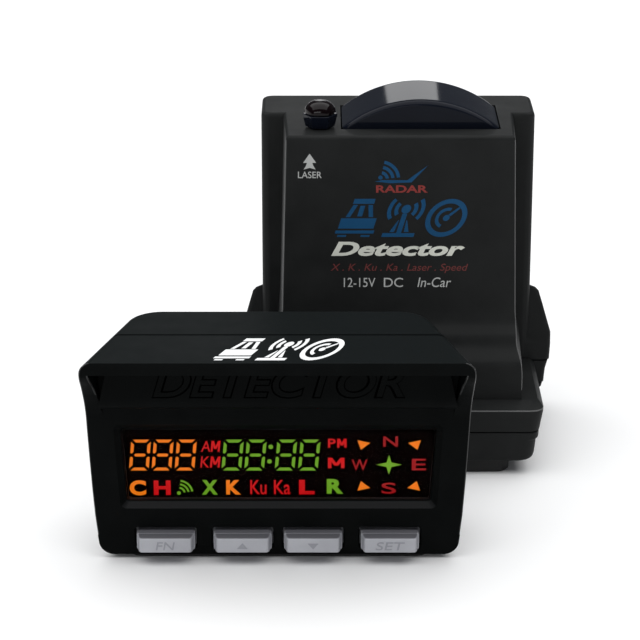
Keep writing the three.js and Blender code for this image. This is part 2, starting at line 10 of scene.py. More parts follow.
import bmesh
import bpy
from mathutils import Matrix, Vector


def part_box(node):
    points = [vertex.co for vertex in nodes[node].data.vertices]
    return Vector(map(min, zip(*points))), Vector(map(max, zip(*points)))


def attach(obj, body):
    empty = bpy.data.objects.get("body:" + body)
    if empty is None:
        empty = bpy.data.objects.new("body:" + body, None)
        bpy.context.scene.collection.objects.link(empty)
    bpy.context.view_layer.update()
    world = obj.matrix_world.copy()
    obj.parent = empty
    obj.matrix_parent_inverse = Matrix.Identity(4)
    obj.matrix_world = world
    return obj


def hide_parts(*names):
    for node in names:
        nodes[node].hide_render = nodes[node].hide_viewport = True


MM = 0.001

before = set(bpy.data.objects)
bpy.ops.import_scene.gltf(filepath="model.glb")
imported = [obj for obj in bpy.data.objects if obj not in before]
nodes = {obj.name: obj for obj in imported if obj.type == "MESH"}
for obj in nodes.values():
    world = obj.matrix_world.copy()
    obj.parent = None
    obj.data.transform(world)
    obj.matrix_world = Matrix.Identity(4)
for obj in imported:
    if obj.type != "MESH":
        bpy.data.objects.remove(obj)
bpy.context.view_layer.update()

# ---------- where the heads stand
HOOD_REACH = 8.0  # the sun hood stands this far in front of the face
bezel_low, bezel_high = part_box("display_front_bezel")
housing_low, housing_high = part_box("receiver_housing")
HEAD_ORIGIN = Vector(((bezel_low.x + bezel_high.x) / 2, bezel_low.y + HOOD_REACH * MM, 0))
RECEIVER_ORIGIN = Vector(((housing_low.x + housing_high.x) / 2, housing_high.y, 0))
HEAD = Matrix.Translation(HEAD_ORIGIN) @ Matrix.Scale(MM, 4)
RECEIVER = Matrix.Translation(RECEIVER_ORIGIN) @ Matrix.Scale(MM, 4)
ON_HEAD, ON_RECEIVER = (HEAD, "display_head"), (RECEIVER, "receiver_head")  # place and body

# ---------- driving dimensions, mm
GAP = 0.3  # between neighbouring parts
# display head
HEAD_BOTTOM, HEAD_TOP, HEAD_BACK = 0.85, 49.0, 26.5
HEAD_SEAM, SEAM_GAP = 9.6, 0.6  # where the two halves of the case meet
SIDE_TAPER = 0.29  # side walls close in by this much per mm of depth
REAR_RADIUS = 8.5  # upright rear edges seen from above
BOTTOM_RADIUS, TOP_RADIUS = 3.0, 2.4
WALL, FACE_WALL = 2.0, 2.2
POST_END = 12.0  # y where the front half's screw posts end
BEYOND = 60  # past every wall of the display case
FLOOR_INSIDE, ROOF_INSIDE = 2.2, 46.6
LIP_BOTTOM = 46.3
FACE_HALF_WIDTHS = (  # z, half width at the face plane
    (0.8, 38.9), (4.5, 39.5), (10.5, 40.2), (24.8, 41.1), (35, 41.6), (47.3, 42.1), (49, 42.1))
FACE_DEPTHS = (  # z, y of the front edge
    (0, 0), (33.5, 0), (36.5, -0.9), (39.5, -2.6), (42.5, -4.9), (44.9, -7.2), (46.3, -8), (49, -8))
HOOD_SPACE = ((33, 38.6), (38.3, 39.1), (LIP_BOTTOM, 39.9))  # z, half width between the hood's cheeks
BAR_PROFILE = (  # y, z of the bar under the hood
    (1, 36), (-1.8, 36.38), (-2.4, 36.55), (-2.95, 36.85), (-3.4, 37.3), (-3.65, 37.8), (-3.8, 38.4),
    (-3.8, 39), (-3.65, 39.6), (-2, 46.9), (1, 46.9))
BAR_HALF, BAR_TAPER, BAR_TAPER_FROM = 38.5, 0.22, 37  # above that height the bar narrows by the taper
SCREEN_TOP, SCREEN_BOTTOM = 30.5, 13.5
SCREEN_TOP_HALF, SCREEN_BOTTOM_HALF = 34.3, 33.1
SCREEN_CHAMFER, SCREEN_RADIUS = 1.3, 0.8
BUTTON_X = (-24.7, -7.9, 7.5, 24.3)
BUTTON_HALF, BUTTON_BOTTOM, BUTTON_TOP, BUTTON_REACH = 6.35, 2.85, 7.25, 4.0
BUTTON_FLANGE_HALF, BUTTON_FLANGE_TOP = 7.2, 8.3
KEY_DROP = 0.4  # the caps' tops lie this far below the CAD's
SCREW_X, SCREW_Z, SCREW_BORE = 20.0, 37.0, 1.3
PORTS = {  # x0, x1, z0, z1 of each socket's opening in the back wall
    "link_jack": (-21, -9, 3.1, 11.5),
    "service_port": (-4.2, 4.2, 4.4, 8),
    "power_jack": (9.5, 18.5, 3.1, 11.5),
}
SPEAKER_X, SPEAKER_Z, SPEAKER_RADIUS, SPEAKER_PITCH = -10.0, 23.2, 8.4, 3.4
COOLING_X, COOLING_HALF, COOLING_PITCH = 14.0, 6.0, 3.0
LEGEND_Y = 4.85  # the lit legends lie on the front of the display module
PRINT_DEPTH = 0.04  # how far prints and lit legends stand proud

# receiver head
RX_TOP, RX_SEAM, RX_BOTTOM = 79.9, 11.1, 3.5
SLAB_HALF, SLAB_FRONT = 32.6, -16.9
PANEL_HALF, PANEL_FRONT, PANEL_BACK, PANEL_DRAFT = 26.5, -36.9, -10, 0.04
PANEL_LEVELS = (  # z, half width, face y: straight face, then two steps forward
    (RX_SEAM, 29, -44.1), (23, 29, -44.1), (25.6, 28.85, -44.1), (26.6, 28.7, -43.8), (27.5, 28.5, -43.1),
    (28.5, 28.2, -42), (29.5, 27.9, -41.1), (30.4, 27.75, -40.6), (31.4, 27.7, -40.3), (32.3, 27.7, -39.8),
    (33.2, 27.7, -38.9), (34.2, 27.65, -38), (35.4, 27.6, -37.4), (37, 27.5, -37), (38.6, 27.45, PANEL_FRONT),
    (78.9, PANEL_HALF, PANEL_FRONT))
FLANGE_HALF, FLANGE_FRONT, FLANGE_EDGE, FLANGE_TOP = 34.0, -48.9, 16.5, 17.5
EAR_LEVELS = (  # z, half width, front y; the dip at 17 is the groove round each ear
    (RX_SEAM, 36.7, -16.4), (14.5, 37, -16.4), (16.75, 37.6, -16.4), (16.8, 37, -15.9), (17.15, 37, -15.9),
    (17.2, 37.9, -16.7), (21.1, 38.1, -16.7), (24, 38.1, -16.2), (27.5, 37.1, -15.2), (31, 36.1, -13.9),
    (33.9, 35.2, -12.8), (34.7, 34.4, -12.5), (35.2, 33, -12.2))
CAP_EAR_LEVELS = ((9, 34.8, -15.6), (9.3, 35.6, -16.1), (9.8, 36.2, -16.3), (RX_SEAM - GAP, 36.4, -16.4))
# behind their front faces the ears close in at the sides and, above this height, at the top
EAR_SIDE_DRAFT, EAR_TOP_DRAFT, EAR_DRAFT_FROM, EAR_DRAFT_OVER = 0.13, 0.42, 24, 9
LENS_X, LENS_HALF, LENS_FRONT, LENS_BACK, LENS_RISE, LENS_BOTTOM = 4.85, 18.3, -30.6, -10.2, 6.6, 77.2
LENS_EDGE = (  # depth, inset of the lens's round front and back edges
    (0, 1.15), (0.08, 0.9), (0.25, 0.6), (0.5, 0.35), (0.85, 0.15), (1.3, 0.03), (2, 0))
LASER_X, LASER_Y, LASER_STEM = -18.6, -29.0, 2.2
COLLAR_BASE, COLLAR_RADIUS, COLLAR_TOP = 3.4, 4.1, 83.2
EYE_DOME, EYE_BOTTOM, EYE_TOP = 3.7, 83.5, 86.3
CAP_SCREWS = ((-28.6, -43.6), (28.6, -43.6), (-27.6, -7), (27.6, -7))
CAP_BORE, CAP_HEAD_BORE, CAP_POST = 1.4, 2.6, 3.9  # radii
LINK_HALF, LINK_BOTTOM = 6.2, 5.7


def smooth_table(rows, at):
    """Value at a position on a smooth curve through rows of (position, value) that never overshoots them."""
    if at <= rows[0][0]:
        return rows[0][1]
    if at >= rows[-1][0]:
        return rows[-1][1]
    steps = [(b[1] - a[1]) / (b[0] - a[0]) for a, b in zip(rows, rows[1:])]
    tilts = [steps[0]]
    for before, after in zip(steps, steps[1:]):
        tilts.append(0 if before * after <= 0 else 2 * before * after / (before + after))
    tilts.append(steps[-1])
    i = next(k for k in range(len(steps)) if at <= rows[k + 1][0])
    (z0, v0), (z1, v1) = rows[i][:2], rows[i + 1][:2]
    width = z1 - z0
    t = (at - z0) / width
    return ((2 * t ** 3 - 3 * t ** 2 + 1) * v0 + (t ** 3 - 2 * t ** 2 + t) * width * tilts[i]
            + (3 * t ** 2 - 2 * t ** 3) * v1 + (t ** 3 - t ** 2) * width * tilts[i + 1])


def spread(low, high, count):
    """count values from low to high."""
    return [low + (high - low) * i / (count - 1) for i in range(count)]


# ---------- materials
def principled(name, color, roughness, **inputs):
    """A Principled material; returns it with its node tree's shader."""
    material = bpy.data.materials.new(name)
    material.use_nodes = True
    shader = material.node_tree.nodes["Principled BSDF"]
    shader.inputs["Base Color"].default_value = (*color, 1)
    shader.inputs["Roughness"].default_value = roughness
    for key, value in inputs.items():
        shader.inputs[key.replace("_", " ")].default_value = value
    return material, shader


def add_node(tree, kind, **inputs):
    """A new shader node with its input values."""
    node = tree.nodes.new("ShaderNode" + kind)
    for key, value in inputs.items():
        node.inputs[key.replace("_", " ")].default_value = value
    return node


def grain(material, shader, scale, strength, distance, roughness, tone, painted_top_shading):
    """Fine moulded texture: noise in object space drives bump, roughness and tone.

    The last argument is a tone painted on faces that look up, standing in for how light falls on tops:
    painted light where it is lighter, painted shade where it is darker.
    """
    tree = material.node_tree
    link = tree.links.new
    coordinates = add_node(tree, "TexCoord")
    noise = add_node(tree, "TexNoise", Scale=scale, Detail=4)
    link(coordinates.outputs["Object"], noise.inputs["Vector"])
    bump = add_node(tree, "Bump", Strength=strength, Distance=distance)
    link(noise.outputs["Fac"], bump.inputs["Height"])
    link(bump.outputs["Normal"], shader.inputs["Normal"])
    broad = add_node(tree, "TexNoise", Scale=scale * 0.06, Detail=5)
    link(coordinates.outputs["Object"], broad.inputs["Vector"])
    low, high = roughness
    gloss = add_node(tree, "MapRange", From_Min=0.3, From_Max=0.7, To_Min=low, To_Max=high)
    link(broad.outputs["Fac"], gloss.inputs["Value"])
    link(gloss.outputs["Result"], shader.inputs["Roughness"])
    if tone:
        ramp = add_node(tree, "ValToRGB")
        for stop, position, color in zip(ramp.color_ramp.elements, (0.3, 0.7), tone):
            stop.position = position
            stop.color = (*color, 1)
        link(broad.outputs["Fac"], ramp.inputs["Fac"])
        link(ramp.outputs["Color"], shader.inputs["Base Color"])
    # painted light and shade on tops: faces that look up take the painted tone
    if painted_top_shading:
        axes = add_node(tree, "SeparateXYZ")
        level = add_node(tree, "MapRange", From_Min=0.6, From_Max=0.95)
        mix = add_node(tree, "Mix")
        mix.data_type = "RGBA"
        mix.inputs["B"].default_value = (*painted_top_shading, 1)
        link(coordinates.outputs["Normal"], axes.inputs["Vector"])
        link(axes.outputs["Z"], level.inputs["Value"])
        link(level.outputs["Result"], mix.inputs["Factor"])
        link(ramp.outputs["Color"], mix.inputs["A"])
        link(mix.outputs["Result"], shader.inputs["Base Color"])
    return material


def textured(name, color, roughness, texture, tone=None, painted_top_shading=None, **inputs):
    """A material with grain; texture is its scale, strength, distance and range of roughness."""
    material, shader = principled(name, color, roughness, **inputs)
    return grain(material, shader, *texture, tone, painted_top_shading)


def plastic(name, low, high, roughness, scale=2600, strength=0.16, gloss=0.5, painted_top_shading=None):
    """Moulded plastic between two tones."""
    texture = (scale, strength, 0.00006, roughness)
    return textured(name, low, roughness[0], texture, (low, high), painted_top_shading, Specular_IOR_Level=gloss)


# Faces that look up are painted about three times lighter: painted light where the overhead light falls on
# the roof and other tops.
display_plastic = plastic(
    "display_plastic", (0.0021, 0.0025, 0.0025), (0.0031, 0.0036, 0.0036), (0.42, 0.52), gloss=0.022,
    painted_top_shading=(0.0066, 0.0081, 0.0083))
# Painted light: the display's black plastic painted several times lighter, standing in for the brighter light
# on the receiver.
receiver_plastic_painted_light = plastic(
    "receiver_plastic_painted_light", (0.0115, 0.0122, 0.0122), (0.015, 0.0158, 0.0158), (0.44, 0.54), gloss=0.07)
# Near-black, for painted shade round the feet of raised lettering.
painted_relief_shade = plastic(
    "painted_relief_shade", (0.0004, 0.0004, 0.0004), (0.0007, 0.0007, 0.0007), (0.8, 0.9), gloss=0.0)
# Lighter and glossier than the display's plastic: a painted highlight for the lower rim of the screen
# opening.
painted_rim_highlight = plastic("painted_rim_highlight", (0.006, 0.0065, 0.007), (0.0085, 0.009, 0.0095), (0.35, 0.45), gloss=0.08)
# Lighter, glossier plastic for the bevels of chosen corners: painted highlights where light catches them.
display_edge_highlight = plastic("display_edge_highlight", (0.012, 0.0125, 0.0125), (0.02, 0.021, 0.021), (0.3, 0.4), gloss=0.3)
receiver_edge_highlight = plastic("receiver_edge_highlight", (0.06, 0.061, 0.061), (0.085, 0.086, 0.086), (0.3, 0.4), gloss=0.3)
# Faces that look up are painted darker: painted shade on the key tops under the hood.
key_plastic = plastic(
    "key_plastic", (0.33, 0.335, 0.365), (0.38, 0.385, 0.415), (0.38, 0.46), 3000, 0.08,
    painted_top_shading=(0.13, 0.13, 0.145))
glyph_plastic = plastic("glyph_plastic", (0.22, 0.225, 0.25), (0.26, 0.265, 0.29), (0.4, 0.5), 3000, 0.08)
black_plastic = plastic(
    "black_plastic", (0.006, 0.006, 0.0065), (0.01, 0.01, 0.011), (0.35, 0.5), 1500, 0.08)
board_green = plastic("board_green", (0.006, 0.055, 0.022), (0.010, 0.075, 0.03), (0.3, 0.45), 900, 0.1)
rubber_black = plastic("rubber_black", (0.01, 0.01, 0.01), (0.016, 0.016, 0.016), (0.8, 0.9), 1800, 0.3)
patch_ceramic = plastic("patch_ceramic", (0.50, 0.42, 0.27), (0.58, 0.50, 0.34), (0.55, 0.7), 1200, 0.2)


def metal(name, low, high, roughness, scale=1400):
    return textured(name, low, roughness[0], (scale, 0.08, 0.00005, roughness), (low, high), Metallic=1.0)


shield_steel = metal("shield_steel", (0.55, 0.56, 0.57), (0.66, 0.67, 0.68), (0.25, 0.4))
screw_steel = metal("screw_steel", (0.30, 0.31, 0.32), (0.42, 0.43, 0.44), (0.28, 0.42))
zinc = metal("zinc", (0.42, 0.43, 0.44), (0.52, 0.53, 0.54), (0.4, 0.55), 700)
contact_gold = metal("contact_gold", (0.75, 0.52, 0.20), (0.85, 0.62, 0.28), (0.2, 0.3))

lens_black = textured(
    "lens_black", (0.004, 0.005, 0.009), 0.09, (500, 0.015, 0.0001, (0.08, 0.13)),
    ((0.0035, 0.0045, 0.009), (0.006, 0.008, 0.013)), Specular_IOR_Level=0.08)
laser_red = textured(
    "laser_red", (0.003, 0.0012, 0.0016), 0.05, (600, 0.01, 0.0001, (0.04, 0.08)),
    ((0.0026, 0.001, 0.0014), (0.004, 0.0015, 0.002)), Specular_IOR_Level=0.15)
window_smoke = textured(
    "window_smoke", (0.80, 0.62, 0.62), 0.03, (400, 0.004, 0.0001, (0.02, 0.05)),
    IOR=1.05, Transmission_Weight=1.0)
module_face = textured(
    "module_face", (0.002, 0.0003, 0.0002), 0.6, (1500, 0.05, 0.0001, (0.45, 0.6)),
    ((0.0016, 0.0002, 0.0002), (0.0026, 0.0004, 0.0003)), Specular_IOR_Level=0.0)


def ink(name, color):
    """Printed ink, a little uneven."""
    low = tuple(channel * 0.88 for channel in color)
    texture = (2500, 0.05, 0.00004, (0.40, 0.53))
    return textured(name, color, 0.45, texture, (low, color), Specular_IOR_Level=0.15)


ink_white = ink("ink_white", (0.85, 0.86, 0.86))
ink_cream = ink("ink_cream", (0.68, 0.69, 0.62))
ink_pale = ink("ink_pale", (0.46, 0.47, 0.46))
ink_blue = ink("ink_blue", (0.005, 0.060, 0.150))
ink_red = ink("ink_red", (0.24, 0.036, 0.032))
ink_dim_red = ink("ink_dim_red", (0.145, 0.034, 0.032))


def lamp(name, color, strength):
    """A lit legend: it glows a little unevenly, as diffused light-emitting diodes do."""
    material, shader = principled(name, tuple(channel * 0.3 for channel in color), 0.5)
    shader.inputs["Emission Color"].default_value = (*color, 1)
    tree = material.node_tree
    coordinates = add_node(tree, "TexCoord")
    noise = add_node(tree, "TexNoise", Scale=500)
    glow = add_node(tree, "MapRange", To_Min=strength * 0.9, To_Max=strength * 1.1)
    tree.links.new(coordinates.outputs["Object"], noise.inputs["Vector"])
    tree.links.new(noise.outputs["Fac"], glow.inputs["Value"])
    tree.links.new(glow.outputs["Result"], shader.inputs["Emission Strength"])
    return material


lamp_orange = lamp("lamp_orange", (0.86, 0.26, 0.007), 1.0)
lamp_green = lamp("lamp_green", (0.135, 0.47, 0.018), 1.0)
lamp_red = lamp("lamp_red", (0.56, 0.002, 0.004), 1.0)
lamp_dim_red = lamp("lamp_dim_red", (0.36, 0.003, 0.006), 0.8)


# ---------- mesh tools
def new_object(name, data):
    piece = bpy.data.objects.new(name, data)
    bpy.context.scene.collection.objects.link(piece)
    return piece


def loft(rings):
    """A closed mesh over rings with equal point counts."""
    count = len(rings[0])
    points = [point for ring in rings for point in ring]
    faces = []
    for r in range(len(rings) - 1):
        for i in range(count):
            j = (i + 1) % count
            faces.append((r * count + i, r * count + j, (r + 1) * count + j, (r + 1) * count + i))
    faces.append(tuple(reversed(range(count))))
    faces.append(tuple(range((len(rings) - 1) * count, len(rings) * count)))
    mesh = bpy.data.meshes.new("solid")
    mesh.from_pydata(points, [], faces)
    mesh.update()
    piece = new_object("solid", mesh)
    outward(piece)
    return piece


def outward(piece):
    """Turns the faces so that they point out."""
    work = bmesh.new()
    work.from_mesh(piece.data)
    bmesh.ops.recalc_face_normals(work, faces=work.faces)
    work.to_mesh(piece.data)
    work.free()


def rounded_rectangle(a0, a1, b0, b1, radius, steps):
    points = []
    for a, b, start in ((a1, b0, -90), (a1, b1, 0), (a0, b1, 90), (a0, b0, 180)):
        centre_a = a - radius if a == a1 else a + radius
        centre_b = b - radius if b == b1 else b + radius
        for i in range(steps + 1):
            angle = math.radians(start + 90 * i / steps)
            points.append((centre_a + radius * math.cos(angle), centre_b + radius * math.sin(angle)))
    return points


def plan_ring(z, x0, x1, y0, y1, radius, steps=6):
    return [(x, y, z) for x, y in rounded_rectangle(x0, x1, y0, y1, radius, steps)]


def face_ring(y, x0, x1, z0, z1, radius, steps=6):
    return [(x, y, z) for x, z in rounded_rectangle(x0, x1, z0, z1, radius, steps)]


def box(x0, x1, y0, y1, z0, z1):
    corners = [(x0, y0), (x1, y0), (x1, y1), (x0, y1)]
    return loft([[(x, y, z) for x, y in corners] for z in (z0, z1)])


def circle(radius, count):
    """Points round the origin."""
    angles = [2 * math.pi * i / count for i in range(count)]
    return [(radius * math.cos(angle), radius * math.sin(angle)) for angle in angles]


def rod(x, y, z, radius, length, axis="Z"):
    """A rod from (x, y, z) along the axis."""
    section = circle(radius, 40)
    if axis == "Z":
        return loft([[(x + a, y + b, level) for a, b in section] for level in (z, z + length)])
    return loft([[(x + a, level, z + b) for a, b in section] for level in (y, y + length)])


def evaluated_mesh(piece):
    """A new mesh of a piece, or a text, as its modifiers leave it."""
    graph = bpy.context.evaluated_depsgraph_get()
    graph.update()
    return bpy.data.meshes.new_from_object(piece.evaluated_get(graph))


def discard(piece):
    mesh = piece.data
    bpy.data.objects.remove(piece)
    bpy.data.meshes.remove(mesh)


def bake(piece):
    """Makes the modifiers' result the mesh itself."""
    mesh = evaluated_mesh(piece)
    old = piece.data
    piece.modifiers.clear()
    piece.data = mesh
    bpy.data.meshes.remove(old)


def combine(piece, tools, operation):
    """Joins tools to piece or cuts them from it, one after another."""
    for tool in tools:
        step = piece.modifiers.new("boolean", "BOOLEAN")
        step.operation = operation
        step.solver = "EXACT"
        step.object = tool
        bake(piece)
        discard(tool)
    return piece


def cut(piece, *tools):
    return combine(piece, tools, "DIFFERENCE")


def join(piece, *tools):
    return combine(piece, tools, "UNION")


def smooth(piece, angle=32):
    mesh = piece.data
    mesh.polygons.foreach_set("use_smooth", [True] * len(mesh.polygons))
    mesh.set_sharp_from_angle(angle=math.radians(angle))
    mesh.update()


def mark_ridges(piece, angle, chosen):
    """Marks the outward corners, or the chosen ones among them, for the bevel."""
    work = bmesh.new()
    work.from_mesh(piece.data)
    weight = work.edges.layers.float.new("bevel_weight_edge")
    for ridge in work.edges:
        sharp = ridge.is_manifold and ridge.is_convex and ridge.calc_face_angle() > math.radians(angle)
        middle = (ridge.verts[0].co + ridge.verts[1].co) / 2
        ridge[weight] = 1.0 if sharp and (chosen is None or chosen(middle)) else 0.0
    work.to_mesh(piece.data)
    work.free()


def finish_piece(piece, name, material, on, replaced=(), bevel=0.0, highlight_material=None, chosen=None, angle=32):
    """Names a solid, softens its outward corners, puts it in its head's frame and hides the CAD nodes it
    stands for.
    """
    place, body = on
    piece.name = name
    mesh = piece.data
    mesh.materials.clear()
    mesh.materials.append(material)
    mesh.polygons.foreach_set("material_index", [0] * len(mesh.polygons))
    if bevel:
        mark_ridges(piece, angle, chosen)
        step = piece.modifiers.new("bevel", "BEVEL")
        step.width = bevel
        step.segments = 3
        step.limit_method = "WEIGHT"
        step.use_clamp_overlap = False
        # the bevels take the given material: a painted highlight on the chosen corners
        if highlight_material:
            mesh.materials.append(highlight_material)
            step.material = 1
        bake(piece)
    smooth(piece, angle)
    step = piece.modifiers.new("normals", "WEIGHTED_NORMAL")
    step.keep_sharp = True
    bake(piece)
    piece.data.transform(place)
    piece.data.name = name
    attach(piece, body)
    if replaced:
        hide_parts(*replaced)
    return piece


# ---------- display head: case
def fillet(before, corner, after, radius, steps):
    """Points round a corner of a plan outline."""
    to_before = (Vector(before) - Vector(corner)).normalized()
    to_after = (Vector(after) - Vector(corner)).normalized()
    opening = to_before.angle(to_after)
    centre = Vector(corner) + (to_before + to_after).normalized() * radius / math.sin(opening / 2)
    start = Vector(corner) + to_before * radius / math.tan(opening / 2) - centre
    end = Vector(corner) + to_after * radius / math.tan(opening / 2) - centre
    return [tuple(centre + start.lerp(end, t).normalized() * radius) for t in spread(0, 1, steps)]


def head_ring(z, side, front, back, face_y=None):
    """One level section of the display case: straight front, tapering sides, round rear corners."""
    half = smooth_table(FACE_HALF_WIDTHS, z) - side
    edge_y = smooth_table(FACE_DEPTHS, z)
    y_front = edge_y + front if face_y is None else face_y
    slope = math.atan(SIDE_TAPER)
    radius = REAR_RADIUS - side
    y_back = HEAD_BACK - back
    y_tangent = y_back - radius + radius * math.sin(slope)
    x_tangent = half - (y_tangent - edge_y) * SIDE_TAPER
    x_front = half - (y_front - edge_y) * SIDE_TAPER
    right = [(x_front, y_front)]
    for angle in spread(slope, math.pi / 2, 14):
        right.append((
            x_tangent - radius * math.cos(slope) + radius * math.cos(angle),
            y_back - radius + radius * math.sin(angle)))
    left = [(-x, y) for x, y in reversed(right)]
    return [(x, y, z) for x, y in right + left]


def head_outside(inset=0.0):
    """The whole display case as one solid, or one that stands inside it by inset."""
    rings = []
    for angle in spread(0, math.pi / 2, 8):
        corner = BOTTOM_RADIUS * (1 - math.sin(angle))
        z = HEAD_BOTTOM + inset + (BOTTOM_RADIUS - inset) * (1 - math.cos(angle))
        rings.append(head_ring(z, corner + inset, corner * 0.25 + inset, corner * 0.4 + inset))
    for z in [6, 10.5, 17, 24.8, 30, 33.5] + spread(34.2, 46.3, 22):
        rings.append(head_ring(z, inset, inset, inset))
    for angle in spread(0, math.pi / 2, 8)[1:]:
        corner = TOP_RADIUS * (1 - math.cos(angle))
        z = HEAD_TOP - TOP_RADIUS + (TOP_RADIUS - inset) * math.sin(angle)
        rings.append(head_ring(z, corner + inset, corner * 0.2 + inset, corner + inset))
    return loft(rings)


def head_inside():
    return loft([
        head_ring(FLOOR_INSIDE, WALL + 1, 0, WALL, FACE_WALL),
        head_ring(4, WALL, 0, WALL, FACE_WALL),
        head_ring(24.8, WALL, 0, WALL, FACE_WALL),
        head_ring(44, WALL + 0.3, 0, WALL, FACE_WALL),
        head_ring(ROOF_INSIDE, WALL + 1.5, 0, WALL + 1, FACE_WALL),
    ])


def hood_space():
    """The room under the sun hood, between its two cheeks."""
    front = -HOOD_REACH - 1
    return loft([
        [(-half - 0.3, front, z), (half + 0.3, front, z), (half - 0.9, 0, z), (-half + 0.9, 0, z)]
        for z, half in HOOD_SPACE])


def hood_bar():
    """The sloping bar under the hood, from cheek to cheek."""
    outline = [(BAR_HALF - max(0, z - BAR_TAPER_FROM) * BAR_TAPER, y, z) for y, z in BAR_PROFILE]
    return loft([[(-x, y, z) for x, y, z in outline], outline])


def screen_ring(y, grow, radius=SCREEN_RADIUS):
    """The screen opening's outline, a trapezium with round corners."""
    x0, x1 = SCREEN_BOTTOM_HALF + grow, SCREEN_TOP_HALF + grow
    z0, z1 = SCREEN_BOTTOM - grow, SCREEN_TOP + grow
    corners = [(-x0, z0), (x0, z0), (x1, z1), (-x1, z1)]
    points = []
    for i, corner in enumerate(corners):
        points += fillet(corners[i - 1], corner, corners[(i + 1) % 4], radius, 6)
    return [(x, y, z) for x, z in points]


def behind_seam(offset):
    return box(-BEYOND, BEYOND, HEAD_SEAM + offset, BEYOND, -1, BEYOND)


def before_seam(offset):
    return box(-BEYOND, BEYOND, -BEYOND, HEAD_SEAM + offset, -1, BEYOND)


def head_shell():
    shell = cut(head_outside(), hood_space())
    join(shell, hood_bar())
    return cut(shell, head_inside())


def build_front_bezel():
    shell = cut(head_shell(), behind_seam(-SEAM_GAP / 2))
    rebate = cut(head_outside(0.95), before_seam(-1.6))
    cut(shell, rebate)
    for x in (-SCREW_X, SCREW_X):
        post = rod(x, FACE_WALL - 0.5, SCREW_Z, 3, POST_END - FACE_WALL + 0.5, "Y")
        cut(post, rod(x, 4.5, SCREW_Z, SCREW_BORE, 9, "Y"))
        join(shell, post)
    opening = loft([
        screen_ring(-0.5, SCREEN_CHAMFER + 0.62, 1.5), screen_ring(0.05, SCREEN_CHAMFER + 0.06, 1.4),
        screen_ring(0.25, SCREEN_CHAMFER - 0.15, 1.3), screen_ring(SCREEN_CHAMFER - 0.15, 0.15, 0.9),
        screen_ring(SCREEN_CHAMFER + 0.05, 0), screen_ring(FACE_WALL + 1, 0)])
    cut(shell, opening)
    for x in BUTTON_X:
        low, high = x - BUTTON_HALF - GAP, x + BUTTON_HALF + GAP
        z0, z1 = BUTTON_BOTTOM - GAP, BUTTON_TOP + GAP
        cut(shell, loft([
            face_ring(y, low - grow, high + grow, z0 - grow, z1 + grow, radius)
            for y, grow, radius in (
                (-1, 0.35, 0.9), (-0.05, 0.35, 0.9), (0.12, 0.12, 0.7), (0.4, 0, 0.6),
                (FACE_WALL + 1, 0, 0.6))]))
    # painted highlight on the bevels of the bezel's outer side corners
    bezel = finish_piece(shell, "front_bezel", display_plastic, ON_HEAD,
                         ["display_front_bezel"], 0.3, display_edge_highlight, lambda at: abs(at.x) > 38.8 and at.z > 5)
    # Painted highlight: the upward-facing faces along the lower rim of the screen opening take the lighter
    # rim material.
    rim_highlight_slot = len(bezel.data.materials)
    bezel.data.materials.append(painted_rim_highlight)
    middle = HEAD_ORIGIN + Vector((0, SCREEN_CHAMFER / 2, SCREEN_BOTTOM - SCREEN_CHAMFER / 2)) * MM
    for face in bezel.data.polygons:
        apart = face.center - middle
        if abs(apart.y) < 0.5 * MM and abs(apart.z) < 0.7 * MM and face.normal.z > 0.4:
            face.material_index = rim_highlight_slot


def cut_slot(shell, x, z, half, rise, radius, levels):
    """Cuts a slot with round ends in the back wall; levels are y and how much wider the slot is there."""
    cut(shell, loft([
        face_ring(y, x - half - grow, x + half + grow, z - rise - grow, z + rise + grow, radius + grow)
        for y, grow in levels]))


def build_rear_shell():
    shell = cut(head_shell(), before_seam(SEAM_GAP / 2))
    lip = cut(head_outside(1.05), before_seam(-1.3), behind_seam(1.2), head_inside())
    join(shell, lip)
    for x in (-SCREW_X, SCREW_X):
        join(shell, rod(x, HEAD_SEAM + 2.7, SCREW_Z, 3.5, HEAD_BACK - 1 - HEAD_SEAM - 2.7, "Y"))
        cut(shell, rod(x, HEAD_SEAM + 1, SCREW_Z, SCREW_BORE, 20, "Y"), rod(x, 21.2, SCREW_Z, 2.5, 8, "Y"),
            rod(x, HEAD_BACK - 0.5, SCREW_Z, 3.0, 3, "Y"))
    for x0, x1, z0, z1 in PORTS.values():
        cut(shell, loft([
            face_ring(HEAD_BACK - 4, x0 - GAP, x1 + GAP, z0 - GAP, z1 + GAP, 0.3, 3),
            face_ring(HEAD_BACK - 0.6, x0 - GAP, x1 + GAP, z0 - GAP, z1 + GAP, 0.3, 3),
            face_ring(HEAD_BACK + 0.6, x0 - 1.3, x1 + 1.3, z0 - 1.1, z1 + 1.3, 0.9, 3)]))
    for row in range(-2, 3):
        up = row * SPEAKER_PITCH
        cut_slot(shell, SPEAKER_X, SPEAKER_Z + up, math.sqrt(SPEAKER_RADIUS ** 2 - up ** 2), 0.7, 0.65,
                 ((HEAD_BACK - 4, 0), (HEAD_BACK - 0.35, 0), (HEAD_BACK + 0.3, 0.6)))
    for row in range(-2, 3):
        cut_slot(shell, COOLING_X, SPEAKER_Z + row * COOLING_PITCH, COOLING_HALF, 0.6, 0.55,
                 ((HEAD_BACK - 0.7, 0), (HEAD_BACK - 0.3, 0), (HEAD_BACK + 0.3, 0.5)))
    finish_piece(shell, "rear_shell", display_plastic, ON_HEAD,
                 ["display_rear_shell"], 0.2, None, lambda at: at.y > HEAD_SEAM + 2)


def build_window():
    """The smoked pane: a step in the opening, on a wider plate behind the face, with black edges."""
    step = loft([screen_ring(y, -GAP, SCREEN_RADIUS - 0.2) for y in (SCREEN_CHAMFER, FACE_WALL + 0.5)])
    plate_back = box(-35.6, 35.6, FACE_WALL + GAP, FACE_WALL + 1.5, SCREEN_BOTTOM - 2, SCREEN_TOP + 2)
    pane = finish_piece(join(step, plate_back), "screen_pane", window_smoke, ON_HEAD,
                        ["display_window"])
    pane.data.materials.append(rubber_black)
    for face in pane.data.polygons:
        face.material_index = 0 if abs(face.normal.y) > 0.9 else 1


